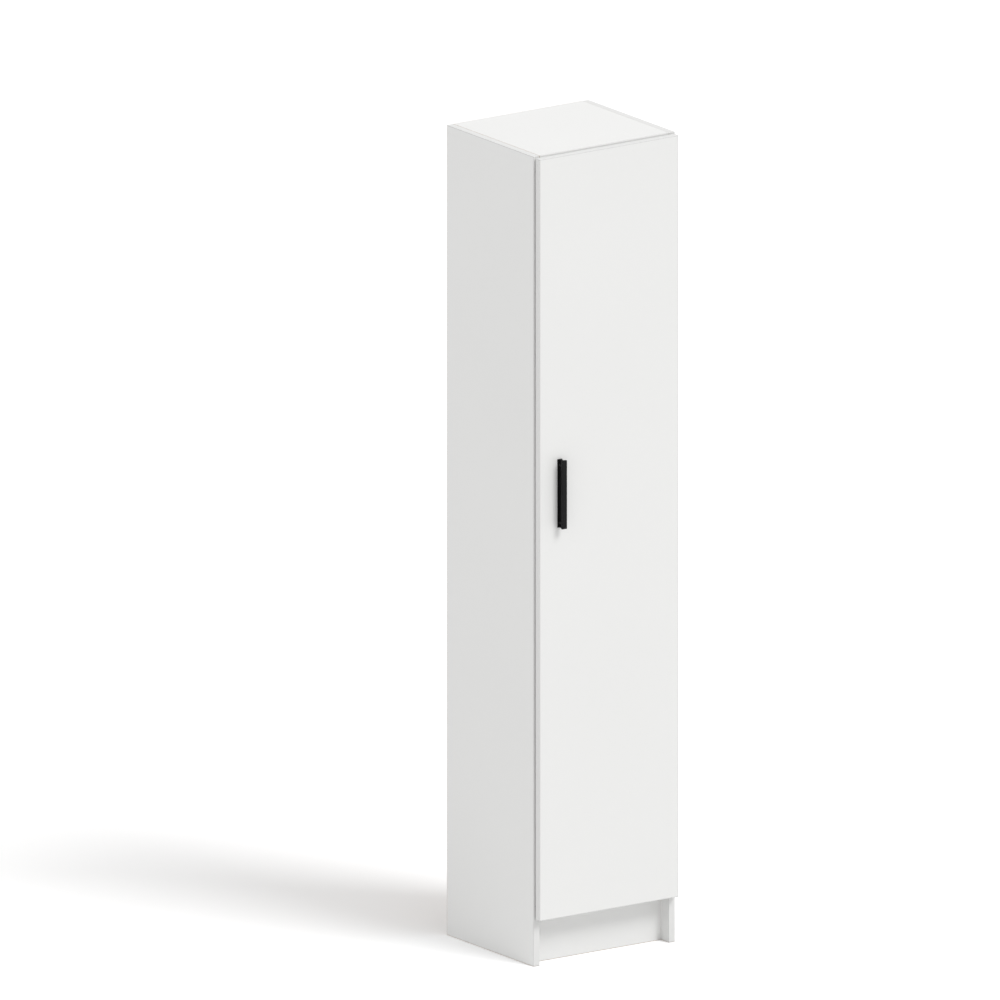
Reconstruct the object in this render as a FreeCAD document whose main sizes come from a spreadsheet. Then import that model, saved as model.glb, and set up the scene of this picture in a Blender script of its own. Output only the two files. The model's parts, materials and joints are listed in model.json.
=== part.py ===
import FreeCAD, Part
import math
import os
import re

import Sketcher

# A tall storage cabinet with one hinged door, built of faced board, in millimetres.
# +X points to the right, +Y to the rear and +Z up. The origin lies on the floor, in the middle of
# the box that holds the closed cabinet and its handle.

SIZES = {
    # Outside of the cabinet: the depth runs from the rear edges to the front face of the door.
    "cabinet_width": 370,
    "cabinet_depth": 344,
    "cabinet_height": 1800,
    "board_thickness": 16,
    "door_thickness": 16,
    "door_gap": 2,
    "door_reveal": 3.5,
    "plinth_height": 100,
    "plinth_setback": 30,
    # Thin back panel, held in grooves of the four boards round it.
    "back_thickness": 3,
    "back_inset": 10,
    "groove_depth": 8,
    "groove_play": 0.2,
    # Shelves.
    "shelf_setback": 20,
    "shelf_rear_play": 1,
    "shelf_side_play": 1,
    # Shelf pins and the rows of holes that take them.
    "pin_diameter": 5,
    "pin_insert": 9,
    "pin_hole_depth": 10,
    "pin_pitch": 32,
    "pin_front_inset": 37,
    "pin_rear_inset": 50,
    "pin_collar_diameter": 8,
    "pin_collar_thickness": 0.8,
    "pin_tongue_length": 9,
    "pin_tongue_width": 7,
    "pin_tongue_thickness": 3,
    # One radial clearance for every part that sits in a drilled hole.
    "hole_play": 0.05,
    # Cam fittings and wood dowels that join the boards.
    "cam_diameter": 15,
    "cam_height": 12,
    "cam_bore_depth": 12.5,
    "cam_end_inset": 24,
    "cam_front_inset": 50,
    "cam_rear_inset": 60,
    "cam_recess_width": 2,
    "cam_recess_length": 8,
    "cam_recess_depth": 2,
    "bolt_thread_diameter": 5,
    "bolt_thread_length": 11,
    "bolt_hole_depth": 12,
    "bolt_shank_diameter": 7,
    "bolt_neck_diameter": 4,
    "bolt_neck_length": 5,
    "bolt_head_diameter": 6.6,
    "bolt_head_length": 3,
    "bolt_bore_diameter": 8,
    "dowel_diameter": 8,
    "dowel_length": 30,
    "dowel_side_depth": 10,
    "dowel_end_play": 0.5,
    "dowel_step": 32,
    "plinth_dowel_inset": 28,
    # Blocks that tie the plinth to the bottom panel.
    "block_width": 32,
    "block_side": 18,
    "block_inset": 60,
    "block_screw_step": 16,
    # Small wood screws.
    "screw_diameter": 3.4,
    "screw_head_diameter": 7,
    "screw_head_height": 2,
    "screw_bite": 11,
    "screw_pilot_depth": 12,
    "screw_clearance": 0.3,
    # Cross recess in the head of every screw.
    "recess_width": 1,
    "recess_length": 4.4,
    "recess_depth": 1.2,
    # Bracket that ties the cabinet to a wall.
    "bracket_leg": 30,
    "bracket_width": 44,
    "bracket_thickness": 2,
    "bracket_screw_inset": 10,
    "wall_hole_diameter": 6.5,
    "wall_hole_drop": 18,
    # Handle: an upright profile with a finger groove along each side.
    "handle_length": 152,
    "handle_width": 12,
    "handle_projection": 20,
    "handle_head": 5.5,
    "handle_base": 2.5,
    "handle_web": 3,
    "handle_rounding": 0.8,
    "handle_edge_inset": 52,
    "handle_height": 1048,
    "handle_hole_spacing": 128,
    "handle_boss_diameter": 9,
    "handle_screw_diameter": 4,
    "handle_screw_bite": 12,
    "handle_screw_hole_depth": 14,
    "handle_screw_head_diameter": 8,
    "handle_screw_head_height": 2.6,
    # Soft stops on the door's back.
    "bumper_diameter": 8,
    "bumper_end_inset": 30,
    # Cup hinges: the cup in the door.
    "hinge_end_inset": 100,
    "cup_diameter": 35,
    "cup_edge_distance": 4.5,
    "cup_depth": 12.3,
    "cup_bore_depth": 12.5,
    "cup_wall": 0.8,
    "cup_flange_thickness": 1.2,
    "cup_flange_height": 60,
    "cup_flange_inboard": 19,
    "cup_flange_rounding": 5,
    "cup_screw_height": 24,
    "cup_screw_inboard": 9.5,
    # Cup hinges: the four pivots, seen from above. The arm's are measured from the inner face of the
    # side panel and the front edges of the boards, the cup's from its centre and the door's back.
    "long_arm_pivot_in": 22.14,
    "long_arm_pivot_forward": 1.56,
    "short_arm_pivot_in": 18.56,
    "short_arm_pivot_forward": 10.83,
    "long_cup_pivot_out": 10.72,
    "long_cup_pivot_deep": 1.85,
    "short_cup_pivot_out": 12.23,
    "short_cup_pivot_deep": 6.61,
    "hinge_pin_diameter": 2,
    "link_half_width": 2.3,
    "link_inner_half": 2.8,
    "link_outer_near": 3.1,
    "link_outer_far": 4.7,
    "link_web_thickness": 1.2,
    "fork_half_width": 2.45,
    "fork_slot_half": 1.85,
    "fork_slot_back": 2.6,
    # Cup hinges: arm and mounting plate on the side panel.
    "arm_near": 5,
    "arm_far": 6.6,
    "arm_sheet": 1.5,
    "arm_rise": 17,
    "arm_foot": 6,
    "arm_end": 70,
    "arm_bend_rear": 20,
    "arm_bend_front": 8,
    "arm_throat_in": 13,
    "arm_throat_rear": 3,
    "plate_start": 24,
    "plate_end": 72,
    "plate_half_height": 7,
    "plate_thickness": 2.5,
    "plate_block_start": 28,
    "plate_block_end": 66,
    "plate_block_half_height": 4.8,
    "wing_start": 29,
    "wing_end": 45,
    "wing_half_height": 24,
    "wing_screw_inset": 37,
    "wing_screw_height": 16,
    "wing_screw_diameter": 5,
    "wing_screw_head_diameter": 8.4,
    "wing_screw_head_height": 1.6,
    "wing_screw_bite": 11,
    "wing_screw_hole_depth": 12,
    "adjuster_front_inset": 35,
    "adjuster_rear_inset": 58,
    "adjuster_diameter": 4,
    "adjuster_length": 9,
    "adjuster_head_diameter": 6.5,
    "adjuster_head_height": 1.6,
    # How far a cut runs past the face that it leaves.
    "overrun": 5,
}

# Places and lengths that follow from the sizes above.
PLACES = {
    "half_width": "cabinet_width / 2",
    "half_depth": "(cabinet_depth + handle_projection) / 2",
    "side_inner": "half_width - board_thickness",
    "inner_width": "side_inner * 2",
    "carcass_depth": "cabinet_depth - door_thickness - door_gap",
    "carcass_front": "half_depth - carcass_depth",
    "door_back": "carcass_front - door_gap",
    "door_front": "door_back - door_thickness",
    "door_width": "cabinet_width - 2 * door_reveal",
    "door_bottom": "plinth_height + door_reveal",
    "door_height": "cabinet_height - door_reveal - door_bottom",
    "floor_top": "plinth_height + board_thickness",
    "ceiling": "cabinet_height - board_thickness",
    "groove_width": "back_thickness + groove_play",
    "groove_rear": "half_depth - back_inset",
    "groove_reach": "groove_depth - groove_play",
    "back_rear": "groove_rear - groove_play / 2",
    "back_front": "back_rear - back_thickness",
    "shelf_front": "carcass_front + shelf_setback",
    "shelf_depth": "back_front - shelf_rear_play - shelf_front",
    "front_cam_row": "carcass_front + cam_front_inset",
    "front_dowel_row": "front_cam_row + dowel_step",
    "rear_cam_row": "half_depth - cam_rear_inset",
    "rear_dowel_row": "rear_cam_row - dowel_step",
    "pin_front_row": "carcass_front + pin_front_inset",
    "pin_rear_row": "half_depth - pin_rear_inset",
    "plinth_front": "carcass_front + plinth_setback",
    "plinth_rear": "plinth_front + board_thickness",
    "dowel_board_depth": "dowel_length - dowel_side_depth",
    "cup_middle": "half_width - door_reveal - cup_edge_distance - cup_diameter / 2",
    "cup_inner_radius": "cup_diameter / 2 - cup_wall",
    "pin_radius": "hinge_pin_diameter / 2",
    "pin_hole_radius": "pin_radius + hole_play",
    "long_arm_x": "side_inner - long_arm_pivot_in",
    "long_arm_y": "carcass_front - long_arm_pivot_forward",
    "short_arm_x": "side_inner - short_arm_pivot_in",
    "short_arm_y": "carcass_front - short_arm_pivot_forward",
    "long_cup_x": "cup_middle + long_cup_pivot_out",
    "long_cup_y": "door_back - long_cup_pivot_deep",
    "short_cup_x": "cup_middle + short_cup_pivot_out",
    "short_cup_y": "door_back - short_cup_pivot_deep",
    "long_run_x": "long_cup_x - long_arm_x",
    "long_run_y": "long_cup_y - long_arm_y",
    "short_run_x": "short_cup_x - short_arm_x",
    "short_run_y": "short_cup_y - short_arm_y",
    "long_link_length": "sqrt(long_run_x * long_run_x + long_run_y * long_run_y)",
    "short_link_length": "sqrt(short_run_x * short_run_x + short_run_y * short_run_y)",
    "long_link_angle": "atan2(long_run_y; long_run_x)",
    "short_link_angle": "atan2(short_run_y; short_run_x)",
    "nose_run_in": "long_arm_pivot_in - short_arm_pivot_in",
    "nose_run_forward": "short_arm_pivot_forward - long_arm_pivot_forward",
    "nose_length": "sqrt(nose_run_in * nose_run_in + nose_run_forward * nose_run_forward)",
    "nose_side": "link_half_width * nose_run_forward / nose_length",
    "nose_drop": "link_half_width * nose_run_in / nose_length",
}

FUNCTIONS = ("sqrt", "atan2")
# The shelves from the lowest up: all but one lie on pins and can be moved.
SHELF_NAMES = ("lower_shelf", "fixed_shelf", "middle_shelf", "upper_shelf")
FIXED_NAME = "fixed_shelf"
LOOSE_NAMES = [name for name in SHELF_NAMES if name != FIXED_NAME]
HINGE_HEIGHTS = {
    "lower": "door_bottom + hinge_end_inset",
    "middle": "door_bottom + door_height / 2",
    "upper": "door_bottom + door_height - hinge_end_inset",
}

X_AXIS = FreeCAD.Vector(1, 0, 0)
Y_AXIS = FreeCAD.Vector(0, 1, 0)
Z_AXIS = FreeCAD.Vector(0, 0, 1)
QUARTER_TURN = 90
# Turns that lay a piece drawn along +Z along another direction.
ALONG = {
    "+X": FreeCAD.Rotation(Y_AXIS, QUARTER_TURN),
    "-X": FreeCAD.Rotation(Y_AXIS, -QUARTER_TURN),
    "+Y": FreeCAD.Rotation(X_AXIS, -QUARTER_TURN),
    "-Y": FreeCAD.Rotation(X_AXIS, QUARTER_TURN),
    "+Z": FreeCAD.Rotation(),
}

doc = FreeCAD.newDocument("storage_cabinet")
nodes = []


# Sizes and formulas

def fill_sheet(name, rows):
    """Write one value or formula a row, with its alias beside it."""
    sheet = doc.addObject("Spreadsheet::Sheet", name)
    for row, (alias, content) in enumerate(rows.items(), start=1):
        sheet.set(f"A{row}", alias)
        sheet.set(f"B{row}", content)
        sheet.setAlias(f"B{row}", alias)
    return sheet


def owned(found):
    """Lead a size's name by the name of the sheet that holds it."""
    word = found.group()
    if word in FUNCTIONS:
        return word
    if word in SIZES:
        return f"sizes.{word}"
    if word in PLACES:
        return f"places.{word}"
    raise KeyError(word)


def formula(words):
    """Turn a formula of plain size names into one that the document understands."""
    return re.sub(r"[a-z][a-z0-9_]*", owned, words)


sizes = fill_sheet("sizes", {alias: str(size) for alias, size in SIZES.items()})
places = fill_sheet("places", {alias: "=" + formula(words) for alias, words in PLACES.items()})
doc.recompute()


def value(words):
    """Work a formula out as a number."""
    answer = sizes.evalExpression(formula(words))
    return float(getattr(answer, "Value", answer))


def bind(thing, **formulas):
    """Tie properties of an object to formulas; two underscores stand for a dot."""
    for name, words in formulas.items():
        thing.setExpression(name.replace("__", "."), formula(words))


def put(thing, place, along="+Z"):
    """Place an object at three formulas, turned so that its own +Z lies along a direction."""
    thing.Placement = FreeCAD.Placement(FreeCAD.Vector(), ALONG[along])
    across, rearward, upward = place
    bind(thing, Placement__Base__x=across, Placement__Base__y=rearward, Placement__Base__z=upward)


# Sketches and features

def new_body(label, place=("0", "0", "0")):
    """Start a piece with its own origin."""
    body = doc.addObject("PartDesign::Body", label)
    body.Label = label
    put(body, place)
    return body


def sketch_on(body, plane, lift="0"):
    """Lay an empty sketch on one of the body's own planes, or a distance along that plane's axis."""
    sketch = body.newObject("Sketcher::SketchObject", body.Name + "_sketch")
    role = plane + "_Plane"
    sketch.AttachmentSupport = (next(f for f in body.Origin.OriginFeatures if f.Role == role), [""])
    sketch.MapMode = "FlatFace"
    sign = "-" if plane == "XZ" else ""
    bind(sketch, AttachmentOffset__Base__z=f"{sign}({lift})")
    return sketch


def hold(sketch, geometry, point, across, up):
    """Hold a point of a sketch at two formulas."""
    for kind, words in (("DistanceX", across), ("DistanceY", up)):
        index = sketch.addConstraint(
            Sketcher.Constraint(kind, -1, 1, geometry, point, value(words))
        )
        sketch.setExpression(f"Constraints[{index}]", formula(words))


def draw_polygon(sketch, corners):
    """Draw a closed outline with straight sides through the corners."""
    first = sketch.GeometryCount
    points = [FreeCAD.Vector(value(across), value(up), 0) for across, up in corners]
    count = len(points)
    for index in range(count):
        sketch.addGeometry(Part.LineSegment(points[index], points[(index + 1) % count]))
    for index in range(count):
        follower = first + (index + 1) % count
        sketch.addConstraint(Sketcher.Constraint("Coincident", first + index, 2, follower, 1))
    for index, (across, up) in enumerate(corners):
        hold(sketch, first + index, 1, across, up)


def draw_rectangle(sketch, left, low, width, height):
    """Draw a rectangle from its lower left corner."""
    right = f"{left} + {width}"
    top = f"{low} + {height}"
    draw_polygon(sketch, [(left, low), (right, low), (right, top), (left, top)])


def draw_circles(sketch, centres, radius):
    """Draw equal circles at the centres."""
    for across, up in centres:
        middle = FreeCAD.Vector(value(across), value(up), 0)
        circle = sketch.addGeometry(Part.Circle(middle, Z_AXIS, value(radius)))
        hold(sketch, circle, 3, across, up)
        index = sketch.addConstraint(Sketcher.Constraint("Radius", circle, value(radius)))
        sketch.setExpression(f"Constraints[{index}]", formula(radius))


def draw_slotted_bar(sketch, length, radius):
    """Draw two half circles joined by straight sides, from the origin to a length along +X."""
    reach = value(length)
    round_end = value(radius)
    near = Part.Circle(FreeCAD.Vector(0, 0, 0), Z_AXIS, round_end)
    far = Part.Circle(FreeCAD.Vector(reach, 0, 0), Z_AXIS, round_end)
    left = sketch.addGeometry(Part.ArcOfCircle(near, math.pi / 2, math.pi * 3 / 2))
    right = sketch.addGeometry(Part.ArcOfCircle(far, -math.pi / 2, math.pi / 2))
    low = sketch.addGeometry(
        Part.LineSegment(FreeCAD.Vector(0, -round_end, 0), FreeCAD.Vector(reach, -round_end, 0))
    )
    high = sketch.addGeometry(
        Part.LineSegment(FreeCAD.Vector(reach, round_end, 0), FreeCAD.Vector(0, round_end, 0))
    )
    for first, first_end, second, second_end in (
        (left, 2, low, 1), (low, 2, right, 1), (right, 2, high, 1), (high, 2, left, 1),
    ):
        sketch.addConstraint(Sketcher.Constraint("Tangent", first, first_end, second, second_end))
    hold(sketch, left, 3, "0", "0")
    hold(sketch, right, 3, length, "0")
    index = sketch.addConstraint(Sketcher.Constraint("Radius", left, round_end))
    sketch.setExpression(f"Constraints[{index}]", formula(radius))


def pad(body, sketch, length, toward="+"):
    """Raise a sketch into a solid, along or against its plane's axis."""
    feature = body.newObject("PartDesign::Pad", body.Name + "_pad")
    feature.Profile = sketch
    feature.Reversed = (toward == "-") != (sketch.AttachmentSupport[0][0].Role == "XZ_Plane")
    bind(feature, Length=length)
    sketch.Visibility = False
    doc.recompute()
    return feature


def pocket(body, sketch, depth, toward):
    """Cut a sketch out of the solid, along or against its plane's axis."""
    before = body.Shape.Volume
    feature = body.newObject("PartDesign::Pocket", body.Name + "_pocket")
    feature.Profile = sketch
    feature.Reversed = (toward == "+") != (sketch.AttachmentSupport[0][0].Role == "XZ_Plane")
    bind(feature, Length=depth)
    sketch.Visibility = False
    doc.recompute()
    if not body.Shape.Volume < before:
        raise RuntimeError(f"{feature.Label} cuts nothing")
    return feature


def block(body, plane, lift, outline, length):
    """Pad a rectangle given by its left, low, width and height."""
    sketch = sketch_on(body, plane, lift)
    draw_rectangle(sketch, *outline)
    return pad(body, sketch, length)


def drill(body, plane, lift, toward, centres, radius, depth):
    """Drill equal round holes."""
    sketch = sketch_on(body, plane, lift)
    draw_circles(sketch, centres, radius)
    return pocket(body, sketch, depth, toward)


def groove(body, plane, lift, toward, outline, depth):
    """Cut a rectangular recess given by its left, low, width and height."""
    sketch = sketch_on(body, plane, lift)
    draw_rectangle(sketch, *outline)
    return pocket(body, sketch, depth, toward)


def round_edges(body, radius, wanted):
    """Round the straight edges of a body that the test picks by their middle and direction."""
    names = []
    for number, edge in enumerate(body.Shape.Edges, start=1):
        if edge.Curve.TypeId != "Part::GeomLine":
            continue
        middle = body.Placement.inverse().multVec(edge.CenterOfMass)
        if wanted(middle, edge.Curve.Direction):
            names.append(f"Edge{number}")
    solid = body.Tip
    feature = body.newObject("PartDesign::Fillet", body.Name + "_rounding")
    feature.Base = (solid, names)
    bind(feature, Radius=radius)
    doc.recompute()
    return feature


def keep(thing):
    """List an object as a piece of the cabinet."""
    nodes.append(thing)
    return thing


def gather(label, placed):
    """Group copies of drawn pieces: each entry gives a piece, its place and its direction."""
    group = doc.addObject("Part::Compound", label)
    group.Label = label
    links = []
    for pattern, place, along in placed:
        link = doc.addObject("App::Link", label + "_copy")
        link.LinkedObject = pattern
        put(link, place, along)
        links.append(link)
        pattern.Visibility = False
    group.Links = links
    keep(group)


def copies(label, pattern, spots):
    """Group copies of one drawn piece: each spot gives a place and a direction."""
    gather(label, [(pattern, place, along) for place, along in spots])


def cross_recess(body, face, width, length, depth):
    """Cut a cross into a head whose face looks along -Z."""
    for across, up in ((width, length), (length, width)):
        groove(body, "XY", face, "+", (f"-{across} / 2", f"-{up} / 2", across, up), depth)


def screw_recess(body, face):
    """Cut the cross that every screw head has."""
    cross_recess(body, face, "recess_width", "recess_length", "recess_depth")
    return body


def turned(label, stages):
    """Draw a round piece along +Z from its stages: each a start, a length and a diameter."""
    body = new_body(label)
    for start, length, diameter in stages:
        sketch = sketch_on(body, "XY", start)
        draw_circles(sketch, [("0", "0")], f"({diameter}) / 2")
        pad(body, sketch, length)
    return body


# Boards

def shelf_underside(name):
    """Height of a shelf's lower face: the shelves divide the inside into equal spaces."""
    count = len(SHELF_NAMES)
    below = SHELF_NAMES.index(name)
    space = f"(ceiling - floor_top - {count} * board_thickness) / {count + 1}"
    return f"floor_top + {below + 1} * ({space}) + {below} * board_thickness"


def pin_axis(name):
    """Height of the pins that carry a shelf: their tongues touch its lower face."""
    return f"{shelf_underside(name)} - pin_tongue_thickness / 2"


def joined_heights():
    """Heights of the middle planes of the boards that are fixed between the side panels."""
    return (
        "plinth_height + board_thickness / 2",
        f"{shelf_underside(FIXED_NAME)} + board_thickness / 2",
        "ceiling + board_thickness / 2",
    )


def pin_heights():
    """Heights of every shelf pin hole, three for each shelf that can be moved."""
    return [
        f"{pin_axis(name)} + {step} * pin_pitch" for name in LOOSE_NAMES for step in (-1, 0, 1)
    ]


def side_panel(label, left, inner_face, inward):
    """Upright side board that stands on the floor, drilled and grooved on its inner face."""
    body = new_body(label, (left, "carcass_front", "0"))
    block(body, "YZ", "0", ("0", "0", "carcass_depth", "cabinet_height"), "board_thickness")
    groove(
        body, "YZ", inner_face, inward,
        (
            "groove_rear - groove_width - carcass_front", "floor_top - groove_depth",
            "groove_width", "ceiling - floor_top + 2 * groove_depth",
        ),
        "groove_depth",
    )
    pins = [
        (f"{row} - carcass_front", height)
        for height in pin_heights()
        for row in ("pin_front_row", "pin_rear_row")
    ]
    drill(body, "YZ", inner_face, inward, pins, "pin_diameter / 2", "pin_hole_depth")
    bolts = [
        (f"{row} - carcass_front", height)
        for height in joined_heights()
        for row in ("front_cam_row", "rear_cam_row")
    ]
    drill(body, "YZ", inner_face, inward, bolts, "bolt_thread_diameter / 2", "bolt_hole_depth")
    dowels = [
        (f"{row} - carcass_front", height)
        for height in joined_heights()
        for row in ("front_dowel_row", "rear_dowel_row")
    ]
    dowels += [
        ("plinth_setback + board_thickness / 2", height)
        for height in ("plinth_dowel_inset", "plinth_height - plinth_dowel_inset")
    ]
    drill(
        body, "YZ", inner_face, inward, dowels,
        "dowel_diameter / 2", "dowel_side_depth + dowel_end_play",
    )
    return body


def cross_board(label, front, low, depth):
    """Level board between the side panels, bored from below and in both ends for its fittings."""
    body = new_body(label, ("-side_inner", front, low))
    block(body, "XY", "0", ("0", "0", "inner_width", depth), "board_thickness")
    cam_rows = [f"{row} - ({front})" for row in ("front_cam_row", "rear_cam_row")]
    dowel_rows = [f"{row} - ({front})" for row in ("front_dowel_row", "rear_dowel_row")]
    cams = [
        (across, row) for row in cam_rows for across in ("cam_end_inset", "inner_width - cam_end_inset")
    ]
    drill(body, "XY", "0", "+", cams, "cam_diameter / 2", "cam_bore_depth")
    for face, inward in (("0", "+"), ("inner_width", "-")):
        bores = [(row, "board_thickness / 2") for row in cam_rows]
        drill(body, "YZ", face, inward, bores, "bolt_bore_diameter / 2", "cam_end_inset")
        holes = [(row, "board_thickness / 2") for row in dowel_rows]
        drill(
            body, "YZ", face, inward, holes,
            "dowel_diameter / 2", "dowel_board_depth + dowel_end_play",
        )
    return body


def back_groove(body, lift, toward):
    """Groove for the back panel along a level board of the carcass."""
    groove(
        body, "XY", lift, toward,
        ("0", "carcass_depth - back_inset - groove_width", "inner_width", "groove_width"),
        "groove_depth",
    )


def block_middles():
    """Places of the plinth blocks to the left and right of the middle."""
    return [f"{sign} * (side_inner - block_inset)" for sign in (-1, 1)]


def build_side_panels():
    """Both sides, with the holes for plate screws in the right one."""
    keep(side_panel("left_side_panel", "-half_width", "board_thickness", "-"))
    right = keep(side_panel("right_side_panel", "side_inner", "0", "+"))
    screws = [
        ("wing_screw_inset", f"{height} + {sign} * wing_screw_height")
        for height in HINGE_HEIGHTS.values()
        for sign in (-1, 1)
    ]
    drill(right, "YZ", "0", "+", screws, "wing_screw_diameter / 2", "wing_screw_hole_depth")


def build_cross_boards():
    """Top, bottom and fixed shelf, between the sides and held by cams."""
    top = keep(cross_board("top_panel", "carcass_front", "ceiling", "carcass_depth"))
    back_groove(top, "0", "+")
    bracket_screws = [
        (f"side_inner + {sign} * (bracket_width / 2 - bracket_screw_inset)",
         "back_front - bracket_leg / 2 - carcass_front")
        for sign in (-1, 1)
    ]
    drill(
        top, "XY", "0", "+", bracket_screws, "screw_diameter / 2 + hole_play", "screw_pilot_depth"
    )
    bottom = keep(cross_board("bottom_panel", "carcass_front", "plinth_height", "carcass_depth"))
    back_groove(bottom, "board_thickness", "-")
    block_screws = [
        (f"side_inner + {middle} + block_screw_step / 2",
         "plinth_setback + board_thickness + block_side / 2")
        for middle in block_middles()
    ]
    drill(
        bottom, "XY", "0", "+", block_screws, "screw_diameter / 2 + hole_play", "screw_pilot_depth"
    )
    keep(cross_board(FIXED_NAME, "shelf_front", shelf_underside(FIXED_NAME), "shelf_depth"))


def build_loose_shelves():
    """Shelves that lie on four pins each and are lifted out by hand."""
    for name in LOOSE_NAMES:
        body = new_body(name, ("shelf_side_play - side_inner", "shelf_front", shelf_underside(name)))
        width = "inner_width - 2 * shelf_side_play"
        block(body, "XY", "0", ("0", "0", width, "shelf_depth"), "board_thickness")
        keep(body)


def build_plinth():
    """Board that closes the space under the bottom panel, set back from the door."""
    body = keep(new_body("plinth_board", ("-side_inner", "plinth_front", "0")))
    block(body, "XY", "0", ("0", "0", "inner_width", "board_thickness"), "plinth_height")
    holes = [
        ("board_thickness / 2", height)
        for height in ("plinth_dowel_inset", "plinth_height - plinth_dowel_inset")
    ]
    for face, inward in (("0", "+"), ("inner_width", "-")):
        drill(
            body, "YZ", face, inward, holes,
            "dowel_diameter / 2", "dowel_board_depth + dowel_end_play",
        )
    pilots = [
        (f"side_inner + {middle} - block_screw_step / 2", "plinth_height - block_side / 2")
        for middle in block_middles()
    ]
    drill(
        body, "XZ", "board_thickness", "-", pilots, "screw_diameter / 2 + hole_play", "screw_pilot_depth"
    )


def build_back():
    """Thin panel in the grooves, with the wall bracket's hole drilled on through it."""
    body = keep(new_body(
        "back_panel",
        ("-(side_inner + groove_reach)", "back_front", "floor_top - groove_reach"),
    ))
    width = "inner_width + 2 * groove_reach"
    height = "ceiling - floor_top + 2 * groove_reach"
    block(body, "XZ", "0", ("0", "0", width, height), "back_thickness")
    hole = ("side_inner + groove_reach", "ceiling - floor_top + groove_reach - wall_hole_drop")
    drill(body, "XZ", "back_thickness", "-", [hole], "wall_hole_diameter / 2", "back_thickness")


# Fittings of the carcass

def cam_spots():
    """Places of the cams: one near each end of each fixed board, in the front and rear rows."""
    spots = []
    for height in joined_heights():
        low = f"{height} - board_thickness / 2 + cam_bore_depth - cam_height"
        for row in ("front_cam_row", "rear_cam_row"):
            spots.append((("-(side_inner - cam_end_inset)", row, low), "+Z"))
            spots.append((("side_inner - cam_end_inset", row, low), "+Z"))
    return spots


def cam_pattern():
    """Cam: a short drum with a bore for the bolt and a cross recess in its lower face."""
    body = new_body("cam_pattern")
    sketch = sketch_on(body, "XY")
    draw_circles(sketch, [("0", "0")], "cam_diameter / 2 - hole_play")
    pad(body, sketch, "cam_height")
    bore_height = "board_thickness / 2 - (cam_bore_depth - cam_height)"
    drill(
        body, "YZ", "-(cam_diameter / 2 + overrun)", "+", [("0", bore_height)],
        "bolt_bore_diameter / 2", "cam_diameter + 2 * overrun",
    )
    cross_recess(body, "0", "cam_recess_width", "cam_recess_length", "cam_recess_depth")
    return body


def bolt_pattern():
    """Cam bolt: threaded end, shank, neck and head, drawn along +Z from the side panel's face."""
    shank = "cam_end_inset - bolt_neck_length - bolt_head_length / 2"
    return turned("bolt_pattern", [
        ("-bolt_thread_length", "bolt_thread_length", "bolt_thread_diameter - 2 * hole_play"),
        ("0", shank, "bolt_shank_diameter"),
        (shank, "bolt_neck_length", "bolt_neck_diameter"),
        (f"{shank} + bolt_neck_length", "bolt_head_length", "bolt_head_diameter"),
    ])


def end_spots(heights, rows):
    """Places at both side panels' inner faces, pointing inwards."""
    spots = []
    for height in heights:
        for row in rows:
            spots.append((("-side_inner", row, height), "+X"))
            spots.append((("side_inner", row, height), "-X"))
    return spots


def screw_pattern(label, grip):
    """Small wood screw along +Z: its head lies below the origin, the grip ends where it bites."""
    body = turned(label, [
        ("-screw_head_height", "screw_head_height", "screw_head_diameter"),
        ("0", f"{grip} + screw_bite", "screw_diameter"),
    ])
    return screw_recess(body, "-screw_head_height")


def build_fittings():
    """Cams, their bolts and the dowels beside them."""
    copies("cam_locks", cam_pattern(), cam_spots())
    rows = ("front_cam_row", "rear_cam_row")
    copies("cam_bolts", bolt_pattern(), end_spots(joined_heights(), rows))
    dowel = turned("dowel_pattern", [
        ("-dowel_side_depth", "dowel_length", "dowel_diameter - 2 * hole_play"),
    ])
    spots = end_spots(joined_heights(), ("front_dowel_row", "rear_dowel_row"))
    copies("board_dowels", dowel, spots)
    heights = ("plinth_dowel_inset", "plinth_height - plinth_dowel_inset")
    copies("plinth_dowels", dowel, end_spots(heights, ("plinth_front + board_thickness / 2",)))


def build_shelf_pins():
    """Pins in the side panels: an insert, a thin collar and a flat tongue that carries the shelf."""
    pin = turned("shelf_pin_pattern", [
        ("-pin_insert", "pin_insert", "pin_diameter - 2 * hole_play"),
        ("0", "pin_collar_thickness", "pin_collar_diameter"),
    ])
    block(
        pin, "XY", "pin_collar_thickness",
        ("-pin_tongue_thickness / 2", "-pin_tongue_width / 2", "pin_tongue_thickness", "pin_tongue_width"),
        "pin_tongue_length",
    )
    heights = [pin_axis(name) for name in LOOSE_NAMES]
    copies("shelf_pins", pin, end_spots(heights, ("pin_front_row", "pin_rear_row")))


def build_plinth_blocks():
    """Square blocks behind the plinth, each screwed up into the floor and forward into the plinth."""
    body = new_body("block_pattern")
    block(
        body, "XY", "-block_side", ("-block_width / 2", "0", "block_width", "block_side"), "block_side"
    )
    clearance = "screw_diameter / 2 + screw_clearance"
    drill(
        body, "XY", "0", "-", [("block_screw_step / 2", "block_side / 2")], clearance, "block_side"
    )
    drill(
        body, "XZ", "0", "+", [("-block_screw_step / 2", "-block_side / 2")], clearance, "block_side"
    )
    middles = block_middles()
    copies("plinth_blocks", body, [((x, "plinth_rear", "plinth_height"), "+Z") for x in middles])
    screw = screw_pattern("block_screw_pattern", "block_side")
    spots = []
    for x in middles:
        up = (f"{x} + block_screw_step / 2", "plinth_rear + block_side / 2", "plinth_height - block_side")
        spots.append((up, "+Z"))
        forward = (
            f"{x} - block_screw_step / 2", "plinth_rear + block_side", "plinth_height - block_side / 2"
        )
        spots.append((forward, "-Y"))
    copies("plinth_block_screws", screw, spots)


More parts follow.
